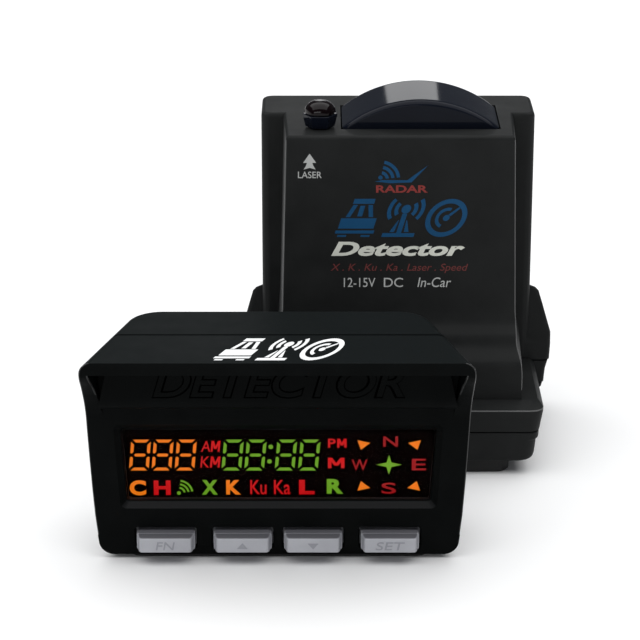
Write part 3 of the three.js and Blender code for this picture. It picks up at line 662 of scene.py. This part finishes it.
# ---------- display head: keys
def build_key(index, x, glyph):
    half, z0, z1 = BUTTON_HALF, BUTTON_BOTTOM, BUTTON_TOP - KEY_DROP
    collar_y = -1.35  # the collar is a little wider than the block in front of it
    rings = []
    for y, side, low, high in (
            (-BUTTON_REACH, 1.1, 0.8, 0.38), (-3.97, 0.93, 0.65, 0.24), (-3.88, 0.8, 0.55, 0.13),
            (-3.7, 0.68, 0.45, 0.06), (-3.4, 0.56, 0.38, 0.03), (-3.0, 0.46, 0.32, 0.02),
            (collar_y - 0.12, 0.2, 0.15, 0.02)):
        rings.append(face_ring(y, x - half + side, x + half - side, z0 + low, z1 - high, 0.45, 8))
    for y, inset in ((collar_y, 0.08), (collar_y + 0.1, 0.01), (collar_y + 0.3, 0), (FACE_WALL + 0.9, 0)):
        rings.append(face_ring(y, x - half + inset, x + half - inset, z0 + inset, z1 - inset, 0.6, 8))
    key = loft(rings)
    flange = box(x - BUTTON_FLANGE_HALF, x + BUTTON_FLANGE_HALF, FACE_WALL + GAP, FACE_WALL + 1.5,
                 z0 - 0.25, BUTTON_FLANGE_TOP)
    join(key, flange)
    on = (HEAD, f"key_{index}")
    finish_piece(key, f"key_cap_{index}", key_plastic, on, [f"button_{index}"])
    relief = glyph(x, (z0 + z1) / 2 + 0.1, -BUTTON_REACH + 0.05, 0.13)
    finish_piece(relief, f"key_glyph_{index}", glyph_plastic, on)


def arrow_glyph(direction):
    def draw(x, z, y, depth):
        tip, base = z + direction * 0.75, z - direction * 0.65
        return plate([[(x - 1.2, base), (x + 1.2, base), (x, tip)]], y, depth)
    return draw


def word_glyph(word, half):
    def draw(x, z, y, depth):
        return lettering(word, x - half, x + half, z - 0.95, z + 0.95, y, depth, 0.004, 0.15)
    return draw


# ---------- flat figures: prints, legends, reliefs
def plate(outlines, y, depth):
    """Thin plates in a plane that faces the viewer, from y towards the front by depth."""
    prisms = [loft([[(x, y - depth, z) for x, z in outline], [(x, y, z) for x, z in outline]])
              for outline in outlines]
    return gather(prisms)


def gather(pieces):
    """Puts several meshes in the first one."""
    work = bmesh.new()
    for piece in pieces:
        work.from_mesh(piece.data)
    work.to_mesh(pieces[0].data)
    work.free()
    for piece in pieces[1:]:
        discard(piece)
    return pieces[0]


def lettering(text, x0, x1, z0, z1, y, depth, bold=0.0, slant=0.0):
    """Generic lettering that fills the given box."""
    curve = bpy.data.curves.new("lettering", "FONT")
    curve.body = text
    curve.extrude = 0.1
    curve.offset = bold
    curve.shear = slant
    curve.resolution_u = 5
    source = new_object("lettering", curve)
    mesh = evaluated_mesh(source)
    bpy.data.objects.remove(source)
    bpy.data.curves.remove(curve)
    xs = [v.co.x for v in mesh.vertices]
    zs = [v.co.y for v in mesh.vertices]
    low_x, low_z = min(xs), min(zs)
    scale_x = (x1 - x0) / (max(xs) - low_x)
    scale_z = (z1 - z0) / (max(zs) - low_z)
    for v in mesh.vertices:
        level = y - depth if v.co.z > 0 else y
        v.co = (x0 + (v.co.x - low_x) * scale_x, level, z0 + (v.co.y - low_z) * scale_z)
    piece = new_object("lettering", mesh)
    outward(piece)
    return piece


def words(y, *rows):
    """Printed lettering at y; a row is text, x0, x1, z0, z1, and where needed boldness and slant."""
    return [lettering(text, x0, x1, z0, z1, y, PRINT_DEPTH, *style) for text, x0, x1, z0, z1, *style in rows]


def figure(y, outlines):
    """A printed figure at y."""
    return [plate(outlines, y, PRINT_DEPTH)]


def letter_m(x0, x1, z0, z1, stroke, slant=0.0):
    """Outlines of a capital M."""
    lean = slant * (z1 - z0)
    x1 -= lean
    middle, dip = (x0 + x1) / 2, z0 + (z1 - z0) * 0.25
    outlines = [bar(x0, x0 + stroke, z0, z1), bar(x1 - stroke, x1, z0, z1)]
    for side, sign in ((x0, 1), (x1, -1)):
        outlines.append([(side, z1), (side + sign * stroke * 1.2, z1), (middle + sign * stroke * 0.55, dip),
                         (middle - sign * stroke * 0.55, dip)])
    return [[(x + (z - z0) * slant, z) for x, z in outline] for outline in outlines]


def arc_band(x, z, radius, width, start, end, steps=14):
    """Outlines that together are part of a ring, angles in degrees from +x."""
    angles = spread(math.radians(start), math.radians(end), steps)
    outer, inner = [
        [(x + reach * math.cos(angle), z + reach * math.sin(angle)) for angle in angles]
        for reach in (radius + width / 2, radius - width / 2)]
    return [[outer[i], outer[i + 1], inner[i + 1], inner[i]] for i in range(steps - 1)]


def disc(x, z, radius):
    return [(x + a, z + b) for a, b in circle(radius, 24)]


def bar(x0, x1, z0, z1):
    return [(x0, z0), (x1, z0), (x1, z1), (x0, z1)]


def flat_piece(piece, name, material, on):
    """Names a print, legend or other small piece that replaces nothing, and puts it in its head's frame."""
    place, body = on
    piece.name = name
    piece.data.name = name
    piece.data.transform(place)
    piece.data.materials.clear()
    piece.data.materials.append(material)
    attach(piece, body)


# ---------- display head: lit legends
DIGIT_HEIGHT, DIGIT_WIDTH, DIGIT_BASE = 7.3, 4.3, 19.15
STROKE, SLANT, SEGMENT_GAP = 0.68, 0.095, 0.38


def seven_segments(x):
    """All seven segments of one digit, leaning right; x is its lower left corner."""
    w, h, t, g = DIGIT_WIDTH, DIGIT_HEIGHT, STROKE, SEGMENT_GAP
    middle = h / 2
    segments = [
        [(g, 0), (w - g, 0), (w - g - t, t), (g + t, t)],
        [(g, h), (g + t, h - t), (w - g - t, h - t), (w - g, h)],
        [(t * 1.3, middle), (t * 1.75, middle - t / 2), (w - t * 1.75, middle - t / 2),
         (w - t * 1.3, middle), (w - t * 1.75, middle + t / 2), (t * 1.75, middle + t / 2)],
    ]
    for x0, side in ((0, 1), (w, -1)):
        for z0, up in ((0, 1), (h, -1)):
            segments.append([
                (x0, z0 + up * g * 1.4), (x0 + side * t, z0 + up * (g * 1.4 + t)),
                (x0 + side * t, z0 + up * (middle - g - t / 2)),
                (x0 + side * t * 0.5, z0 + up * (middle - g)),
                (x0, z0 + up * (middle - g * 1.4))])
    return [[(x + a + b * SLANT, DIGIT_BASE + b) for a, b in segment] for segment in segments]


def legend(name, pieces, material):
    flat_piece(gather(pieces), name, material, ON_HEAD)


def build_legends():
    y = LEGEND_Y
    speed_digits = [seven_segments(x) for x in (-32.85, -27.9, -22.85)]
    legend("speed_digits", figure(y, sum(speed_digits, [])), lamp_orange)
    clock_digits = [seven_segments(x) for x in (-12.6, -7.6, -0.95, 4.15)]
    colon = [disc(-1.75, 24.75, 0.5), disc(-2.05, 21.3, 0.5)]
    legend("clock_digits", figure(y, sum(clock_digits, []) + colon), lamp_green)
    capital_ms = []
    for x0, x1, z0, z1, *style in (
            (-14.9, -12.7, 23.6, 26.15, 0.42, 0.1), (-15.1, -12.75, 19.85, 22.45, 0.42, 0.1),
            (12.75, 14.8, 24.55, 26.65, 0.5), (10.75, 14.35, 19.7, 22.15, 0.75)):
        capital_ms += letter_m(x0, x1, z0, z1, *style)
    unit_words = words(
        y, ("A", -17.0, -15.0, 23.6, 26.15, 0.0, 0.12), ("K", -17.2, -15.3, 19.85, 22.45, 0.0, 0.12),
        ("P", 10.75, 12.4, 24.55, 26.65, 0.015))
    legend("unit_words", unit_words + figure(y, capital_ms), lamp_red)
    legend("band_letters_orange", words(
        y, ("C", -32.8, -29.2, 13.2, 16.8, 0.045), ("K", -11.6, -8.4, 13.4, 16.85, 0.045)), lamp_orange)
    legend("band_letters_red", words(
        y, ("H", -27.5, -23.8, 13.3, 16.75, 0.045), ("Ku", -6.3, -2.75, 13.45, 16.85, 0.008),
        ("Ka", -1.1, 2.5, 13.45, 16.85, 0.008), ("L", 4.4, 7.8, 13.45, 16.9, 0.045)), lamp_red)
    waves = [disc(-22.0, 13.75, 0.42)]
    for radius in (1.25, 2.1, 2.95):
        waves += arc_band(-22.0, 13.75, radius, 0.4, 8, 82)
    green_letters = words(y, ("X", -16.9, -13.5, 13.4, 16.85, 0.045), ("R", 10.5, 14.1, 13.6, 17.1, 0.045))
    legend("band_letters_green", green_letters + figure(y, waves), lamp_green)
    compass_x, compass_z = 24.1, 20.5
    star = []
    for i in range(8):
        reach = (2.75 if i % 4 == 0 else 2.3) if i % 2 == 0 else 0.75
        angle = math.radians(45 * i)
        star.append((compass_x + reach * math.cos(angle), compass_z + reach * math.sin(angle)))
    legend("compass_star", figure(y, [star]), lamp_green)
    pointer = [(-1.17, 0.97), (1.59, 0.33), (-0.42, -1.29)]
    triangles = []
    for side in (-1, 1):
        for up, across, rise in ((1, 5.75, 4.85), (-1, 5.7, -5.2)):
            x, z = compass_x + side * across, compass_z + rise
            triangles.append([(x - side * a, z + up * b) for a, b in pointer])
    legend("compass_triangles", figure(y, triangles), lamp_orange)
    legend("compass_letters", words(
        y, ("N", 22.8, 26.0, 24.8, 27.2, 0.01), ("S", 22.5, 25.7, 13.6, 16.2, 0.01),
        ("W", 15.9, 19.4, 19.2, 21.7, 0.01), ("E", 29.1, 32.2, 19.2, 21.9, 0.01)), lamp_dim_red)


# ---------- receiver head: case
def ear_ring(z, half, front):
    """One section of both ears: behind their front faces they close in and, higher up, slope down."""
    dip = EAR_TOP_DRAFT * min(1, max(0, z - EAR_DRAFT_FROM) / EAR_DRAFT_OVER)
    return [(x - math.copysign(EAR_SIDE_DRAFT, x) * (y - front), y, z - dip * (y - front))
            for x, y, _ in plan_ring(z, -half, half, front, 0, 1.2)]


def ears(levels):
    return loft([ear_ring(*level) for level in levels])


def panel_ring(z, half, front):
    """One level section of the front panel; its sides open out towards the slab."""
    right = [(half, front), (half + PANEL_DRAFT * (PANEL_BACK - front), PANEL_BACK)]
    left = [(-x, y) for x, y in reversed(right)]
    return [(x, y, z) for x, y in right + left]


def housing_outside():
    slab = loft([
        plan_ring(z, -SLAB_HALF + inset, SLAB_HALF - inset, SLAB_FRONT + inset * 0.6, -inset,
                  2 - inset * 0.3, 8)
        for z, inset in (
            (RX_SEAM, 0), (78.8, 0), (79.1, 0.06), (79.35, 0.18), (79.6, 0.4), (79.78, 0.66), (RX_TOP, 1))])
    half_widths = [(z, half) for z, half, _ in PANEL_LEVELS]
    depths = [(z, y) for z, _, y in PANEL_LEVELS]
    rings = []
    for z in [RX_SEAM, 20] + spread(23, 39, 54) + [60, 78.9, 79.25, 79.5, 79.75, RX_TOP]:
        inset = smooth_table(((78.9, 0), (79.25, 0.08), (79.5, 0.22), (79.75, 0.48), (RX_TOP, 0.75)), z)
        rings.append(panel_ring(z, smooth_table(half_widths, z) - inset, smooth_table(depths, z) + inset))
    panel = loft(rings)
    flange = loft([
        plan_ring(z, -FLANGE_HALF + side, FLANGE_HALF - side, FLANGE_FRONT + front, -8, radius, 8)
        for z, side, front, radius in (
            (RX_SEAM, 0.8, 0.3, 3), (15.6, 0.05, 0, 3), (FLANGE_EDGE, 0, 0, 3), (FLANGE_TOP, 1.2, 4.6, 1.5))])
    return join(slab, panel, flange, ears(EAR_LEVELS))


def build_receiver_housing():
    shell = housing_outside()
    cut(shell,
        box(-30, 30, SLAB_FRONT + 2, -2, RX_SEAM - 1, RX_TOP - 2),
        box(-PANEL_HALF + 2, PANEL_HALF - 2, PANEL_FRONT + 2, -8, RX_SEAM - 1, RX_TOP - 2),
        box(-27, 27, -42, -8, RX_SEAM - 1, 20),
        box(-30.8, 30.8, -46.6, -4, RX_SEAM - 1, 15),
        box(-32.4, 32.4, -9, -2, RX_SEAM - 1, 18.5))
    for x, y in CAP_SCREWS:
        join(shell, box(x - 2.7, x + 2.7, y - 2.7, y + 2.7, RX_SEAM, 16))
        cut(shell, rod(x, y, RX_SEAM - 1, CAP_BORE, 5.1))
    cut(shell,
        box(LENS_X - LENS_HALF - GAP, LENS_X + LENS_HALF + GAP, LENS_FRONT - GAP, LENS_BACK + GAP,
            RX_TOP - 3, RX_TOP + 1),
        rod(LASER_X, LASER_Y, RX_TOP - 3, LASER_STEM + GAP, 4))

    def painted_highlight_at(at):
        """Where a highlight is painted on a corner: the panel's uprights and the flange's front rim."""
        on_panel = at.y < -36 and RX_SEAM + 8 < at.z < RX_TOP - 1
        return on_panel or (at.y < FLANGE_FRONT + 4 and abs(at.z - FLANGE_EDGE) < 0.3)

    finish_piece(shell, "receiver_case", receiver_plastic_painted_light, ON_RECEIVER,
                 ["receiver_housing"], 0.2, receiver_edge_highlight, painted_highlight_at)


def build_end_cap():
    tray = loft([
        plan_ring(z, -half, half, front, back, 3, 8) for z, half, front, back in (
            (RX_BOTTOM, 31, -47.9, -2), (3.65, 31.3, -48.15, -1.8), (3.9, 31.6, -48.35, -1.6),
            (4.3, 31.85, -48.5, -1.4), (5.2, 32.1, -48.6, -1), (8.65, 32.45, -48.6, -1),
            (8.8, 32.55, -48.6, -1), (9.0, 32.95, -48.6, -1), (9.2, 33, -48.6, -1), (10.5, 33.08, -48.6, -1),
            (RX_SEAM - GAP, 32.9, -48.4, -1))])
    shell = join(tray, ears(CAP_EAR_LEVELS))
    room = box(-28.6, 28.6, -46, -2.4, 5.4, RX_SEAM)
    for x, y in CAP_SCREWS:
        cut(room, rod(x, y, 5, CAP_POST, 7))
    cut(shell, room)
    for x, y in CAP_SCREWS:
        cut(shell, rod(x, y, RX_BOTTOM - 1, CAP_BORE, 9), rod(x, y, RX_BOTTOM - 1, CAP_HEAD_BORE, 3.9))
    cut(shell, box(-LINK_HALF - GAP, LINK_HALF + GAP, -3, 1, LINK_BOTTOM - GAP, RX_SEAM))
    finish_piece(shell, "receiver_cap", receiver_plastic_painted_light, ON_RECEIVER,
                 ["receiver_end_cap"], 0.15)


# ---------- receiver head: lens and laser eye
def build_antenna_lens():
    levels = [(LENS_FRONT + depth, inset) for depth, inset in LENS_EDGE]
    levels += [(LENS_BACK - depth, inset) for depth, inset in reversed(LENS_EDGE)]
    rings = []
    for y, inset in levels:
        chord, rise = LENS_HALF - inset, LENS_RISE - inset
        radius = (chord ** 2 + rise ** 2) / (2 * rise)
        sweep = math.asin(chord / radius)
        ring = [(LENS_X + radius * math.sin(a), y, RX_TOP + rise - radius + radius * math.cos(a))
                for a in spread(-sweep, sweep, 49)]
        rings.append(ring + [(LENS_X + chord, y, LENS_BOTTOM), (LENS_X - chord, y, LENS_BOTTOM)])
    lens = loft(rings)
    join(lens, box(LENS_X - 18, LENS_X + 18, LENS_FRONT - 1.6, LENS_BACK + 1.6, 76.1, LENS_BOTTOM + 0.4))
    finish_piece(lens, "antenna_dome", lens_black, ON_RECEIVER, ["antenna_lens"])


def eye_ring(z, radius, facets=0.0):
    """A ring of the laser eye, from round (facets 0) to six-sided (facets 1) with a corner at each side."""
    ring = []
    for angle in spread(0, 2 * math.pi, 49)[:-1]:
        in_facet = abs((angle + math.pi / 6) % (math.pi / 3) - math.pi / 6)
        hexagon = radius * math.cos(math.pi / 6) / math.cos(math.pi / 6 - in_facet)
        reach = radius + (hexagon - radius) * facets
        ring.append((LASER_X + reach * math.cos(angle), LASER_Y + reach * math.sin(angle), z))
    return ring


def build_laser_eye():
    collar = loft([
        eye_ring(RX_TOP + GAP, COLLAR_BASE, 1), eye_ring(COLLAR_TOP - 0.35, COLLAR_RADIUS - 0.05, 1),
        eye_ring(COLLAR_TOP - 0.1, COLLAR_RADIUS - 0.04, 1), eye_ring(COLLAR_TOP, COLLAR_RADIUS - 0.2, 1)])
    cut(collar, rod(LASER_X, LASER_Y, RX_TOP, LASER_STEM + GAP, 4))
    finish_piece(collar, "laser_eye_collar", lens_black, ON_RECEIVER, ["laser_collar"])
    dome = [eye_ring(74.2, LASER_STEM), eye_ring(EYE_BOTTOM, LASER_STEM)]
    height = EYE_TOP - EYE_BOTTOM
    for angle in spread(0, math.radians(84), 14):
        dome.append(eye_ring(EYE_BOTTOM + 0.02 + (height - 0.02) * math.sin(angle),
                             EYE_DOME * math.cos(angle) ** 0.85, 0.6 * (1 - math.sin(angle))))
    finish_piece(loft(dome), "laser_eye_dome", laser_red, ON_RECEIVER, ["laser_lens"], angle=40)


# ---------- generic pictures and words
def leaning(outlines, x0, x1, z0, z1, width, height, slant):
    """Drawings made in a width by height field, scaled into a box and leant over by slant."""
    scale_x = (x1 - x0 - slant * (z1 - z0)) / width
    scale_z = (z1 - z0) / height
    return [[(x0 + a * scale_x + b * scale_z * slant, z0 + b * scale_z) for a, b in outline]
            for outline in outlines]


def pictograms(x0, x1, z0, z1, slant):
    """A car, a mast and a scanning dial, each about 10 wide and 10 high, side by side."""
    car = [bar(0.6, 9.4, 2.2, 4.9), bar(0.2, 9.8, 0.9, 1.7), bar(1, 3.2, 0, 0.5), bar(6.8, 9, 0, 0.5),
           [(1.6, 5.2), (2.7, 5.2), (3.7, 8.4), (2.6, 8.4)], [(7.3, 5.2), (8.4, 5.2), (7.4, 8.4), (6.3, 8.4)],
           bar(2.4, 7.6, 8.7, 10), bar(4.4, 5.6, 5.4, 8.2)]
    mast = [bar(15.4, 16.6, 1, 6.1), bar(12, 20, 0, 1), [(13.6, 1.3), (14.8, 1.3), (15.1, 4.4), (14.9, 4.4)],
            [(17.2, 1.3), (18.4, 1.3), (17.1, 4.4), (16.9, 4.4)], disc(16, 7.3, 1.15)]
    for radius in (2.4, 4.1):
        mast += arc_band(16, 7.3, radius, 0.95, -38, 38) + arc_band(16, 7.3, radius, 0.95, 142, 218)
    dial = arc_band(26.6, 5, 4.4, 1.2, 0, 360, 40) + arc_band(26.6, 5, 2.3, 0.8, 75, 250, 24)
    dial += [disc(26.6, 5, 0.8), [(26.9, 5.9), (27.45, 5.4), (29.35, 7.5), (28.95, 7.9)]]
    return leaning(car + mast + dial, x0, x1, z0, z1, 31.6, 10, slant)


def print_on_receiver(name, pieces, material):
    flat_piece(gather(pieces), name, material, ON_RECEIVER)


def build_receiver_prints():
    y = PANEL_FRONT + 0.01
    arrow = [
        [(-22.5, 73.5), (-21, 75.7), (-19.5, 73.5)],
        [(-21.6, 73.5), (-20.4, 73.5), (-20.1, 72.7), (-21.9, 72.7)],
        [(-22.4, 71.9), (-21.9, 72.7), (-20.1, 72.7), (-19.6, 71.9), (-21, 72.3)]]
    label = words(y, ("LASER", -23.7, -18.2, 69.8, 71.4, 0.005))
    print_on_receiver("laser_label", figure(y, arrow) + label, ink_pale)
    waves = [disc(-4.6, 69.95, 0.5)]
    for radius in (1.6, 2.9, 4.2):
        waves += arc_band(-4.6, 69.55, radius, 0.75, 6, 78)
    swoosh = [[(-5.9, 69.0), (-4.2, 69.35), (1.6, 69.3), (6.4, 72.9), (2.6, 68.8), (-2.2, 68.6)]]
    print_on_receiver("emblem_blue", figure(y, waves + swoosh), ink_blue)
    print_on_receiver("pictograms_blue", figure(y, pictograms(-15.6, 16.9, 55.5, 64.8, 0.3)), ink_blue)
    print_on_receiver("wordmark_cream", words(
        y, ("Detector", -16.0, 15.3, 50.8, 54.3, 0.035, 0.3)), ink_cream)
    print_on_receiver("emblem_red", words(y, ("RADAR", -5.6, 6.4, 66.3, 68.1, 0.03)), ink_red)
    print_on_receiver("bands_red", words(
        y, ("X . K . Ku . Ka . Laser . Speed", -16.1, 16.1, 46.6, 48.9, 0.0, 0.25)), ink_dim_red)
    print_on_receiver("supply_white", words(
        y, ("12-15V", -13, -5.6, 43.1, 45.4), ("DC", -3.6, 0.9, 43.1, 45.4),
        ("In-Car", 4.3, 12.2, 43.1, 45.5, 0.0, 0.2)), ink_pale)


def build_roof_print():
    graphic = plate(pictograms(-14.3, 16.2, -5.9, 7.3, 0.42), 0.0, PRINT_DEPTH)
    lying = Matrix.Rotation(math.radians(-90), 4, "X")
    graphic.data.transform(Matrix.Translation((0, 0, HEAD_TOP - 0.005)) @ lying)
    flat_piece(graphic, "roof_print", ink_white, ON_HEAD)


def build_bar_relief():
    """Raised lettering in the case's colour over a slightly wider near-black plate, which is painted shade
    round the letters' feet; both lean back with the bar's face.
    """
    low, high = BAR_PROFILE[-3:-1]
    lean = math.atan2(high[0] - low[0], high[1] - low[1])
    place = Matrix.Translation((0, low[0] + 0.02, low[1])) @ Matrix.Rotation(-lean, 4, "X")
    # the wider near-black plate is painted shade round the letters' feet
    for name, grow, depth, material in (
            ("bar_relief_shade", 0.3, PRINT_DEPTH, painted_relief_shade), ("bar_relief", 0.0, 0.16, display_plastic)):
        relief = lettering("DETECTOR", -26.6 - grow, 26.9 + grow, 0.1 - grow, 6.4 + grow, 0.0, depth,
                           0.01 + grow * 0.1, 0.25)
        relief.data.transform(place)
        flat_piece(relief, name, material, ON_HEAD)


# ---------- sockets
def build_contacts():
    """Contacts inside the sockets: flat springs, a centre pin and a tongue."""
    x0, x1, z0, _ = PORTS["link_jack"]
    spring_path = (
        (17.6, z0 + 1.25), (21, z0 + 1.35), (23.6, z0 + 2.3), (24.1, z0 + 2.35), (24.5, z0 + 2.1))
    springs = []
    for x in spread(x0 + 2.6, x1 - 2.6, 6):
        section = bar(x - 0.32, x + 0.32, 0, 0.22)
        springs.append(loft([[(a, y, z + b) for a, b in section] for y, z in spring_path]))
    flat_piece(gather(springs), "link_contacts", contact_gold, ON_HEAD)
    x0, x1, z0, z1 = PORTS["power_jack"]
    x, z = (x0 + x1) / 2, (z0 + z1) / 2
    pin = loft([
        [(x + a, y, z + b) for a, b in circle(radius, 24)]
        for y, radius in ((17.4, 0.78), (24.9, 0.78), (25.25, 0.72), (25.45, 0.5), (25.52, 0.2))])
    flat_piece(pin, "power_pin", contact_gold, ON_HEAD)
    smooth(pin)
    x0, x1, _, _ = PORTS["service_port"]
    tongue = loft([face_ring(y, x0 + 1.7, x1 - 1.7, 5.75, 6.65, 0.2, 3) for y in (21.1, 24.9)])
    flat_piece(tongue, "service_tongue", black_plastic, ON_HEAD)
    strips = [box(x - 0.22, x + 0.22, 21.3, 24.6, 5.68, 5.76) for x in spread(-1.8, 1.8, 5)]
    flat_piece(gather(strips), "service_contacts", contact_gold, ON_HEAD)
    z0, z1 = LINK_BOTTOM + 0.85, LINK_BOTTOM + 1.05
    pins = [box(x - 0.25, x + 0.25, -8.5, -3.4, z0, z1) for x in spread(-3.8, 3.8, 6)]
    flat_piece(gather(pins), "socket_contacts", contact_gold, ON_RECEIVER)


# ---------- CAD nodes that stay
KEPT = {}
for kept_material, kept_names in (
        (module_face, ("led_display_module",)),
        (board_green, ("display_board", "main_board", "satellite_board", "receiver_board", "laser_board")),
        (black_plastic, ("board_connector", "receiver_connector", "speaker_frame", "link_jack", "power_jack",
                         "link_socket", "laser_sensor")),
        (shield_steel, ("processor_shield", "receiver_shield", "microwave_block", "speaker_magnet",
                        "service_port")),
        (rubber_black, ("lens_gasket", "dash_pad", "receiver_foot")),
        (patch_ceramic, ("satellite_antenna",)),
        (zinc, ("horn_antenna",))):
    KEPT.update(dict.fromkeys(kept_names, kept_material))
for index in range(1, 5):
    KEPT[f"switch_{index}"] = black_plastic
    KEPT[f"switch_plunger_{index}"] = key_plastic
    KEPT[f"cap_screw_{index}"] = screw_steel
for index in (1, 2):
    KEPT[f"case_screw_{index}"] = screw_steel
ROUNDED = {  # bevel, mm
    "dash_pad": 0.15, "receiver_foot": 0.3, "processor_shield": 0.25, "receiver_shield": 0.25,
    "microwave_block": 0.3, "satellite_antenna": 0.3, "link_jack": 0.2, "power_jack": 0.2,
    "link_socket": 0.15, "speaker_frame": 0.2, "horn_antenna": 0.2, "laser_sensor": 0.2}


def dress_kept_nodes():
    """Better materials on the CAD nodes that stay, and soft edges on some of them."""
    for name, material in KEPT.items():
        node = nodes[name]
        node.data.materials.clear()
        node.data.materials.append(material)
        if name in ROUNDED:
            step = node.modifiers.new("bevel", "BEVEL")
            step.width = ROUNDED[name] * MM
            step.segments = 2
            step.limit_method = "ANGLE"
            step.angle_limit = math.radians(32)
            step.harden_normals = True


build_front_bezel()
build_rear_shell()
build_window()
build_bar_relief()
build_roof_print()
for key_number, (key_x, key_glyph) in enumerate(zip(BUTTON_X, (
        word_glyph("FN", 2.1), arrow_glyph(1), arrow_glyph(-1), word_glyph("SET", 3.2))), start=1):
    build_key(key_number, key_x, key_glyph)
build_legends()
build_contacts()
build_receiver_housing()
build_end_cap()
build_antenna_lens()
build_laser_eye()
build_receiver_prints()
dress_kept_nodes()


# ---------- floor, lights, camera
def build_stage():
    half = 3.0
    floor_mesh = bpy.data.meshes.new("floor")
    corners = [(-half, -half, 0), (half, -half, 0), (half, half, 0), (-half, half, 0)]
    floor_mesh.from_pydata(corners, [], [(0, 1, 2, 3)])
    texture = (40, 0.02, 0.0005, (0.65, 0.75))
    floor_mesh.materials.append(textured("floor_white", (0.86, 0.86, 0.86), 0.7, texture))
    floor = new_object("floor", floor_mesh)

    world = bpy.data.worlds.new("studio")
    bpy.context.scene.world = world
    world.use_nodes = True
    background = world.node_tree.nodes["Background"]
    background.inputs["Color"].default_value = (0.86, 0.92, 1.0, 1)
    background.inputs["Strength"].default_value = 0.12

    def area_light(name, place, target, size, power):
        light = bpy.data.lights.new(name, "AREA")
        light.shape = "RECTANGLE"
        light.size, light.size_y = size
        light.energy = power
        lamp_object = new_object(name, light)
        lamp_object.location = place
        lamp_object.rotation_euler = (Vector(target) - Vector(place)).to_track_quat("-Z", "Y").to_euler()

    area_light("softbox_overhead", (-0.2, 0.15, 2.2), (-0.2, 0.15, 0), (5.0, 4.0), 142)
    area_light("softbox_front", (-0.35, -1.6, 0.42), (0, -0.05, 0.03), (0.9, 0.4), 5.0)
    area_light("softbox_back", (0.02, 1.55, 0.48), (0.02, 0.05, 0.08), (0.38, 0.25), 0.5)


def build_camera():
    pitch_down = 20.0
    camera_data = bpy.data.cameras.new("camera")
    camera_data.sensor_width = 36.0
    camera_data.lens = 146.25
    camera = new_object("camera", camera_data)
    camera.location = HEAD_ORIGIN + Vector((9.0, -519.2, 244.9)) * MM
    camera.rotation_euler = (math.radians(90 - pitch_down), 0, 0)
    bpy.context.scene.camera = camera


build_stage()
build_camera()
view_settings = bpy.context.scene.view_settings
view_settings.view_transform = "Standard"
view_settings.look = "None"
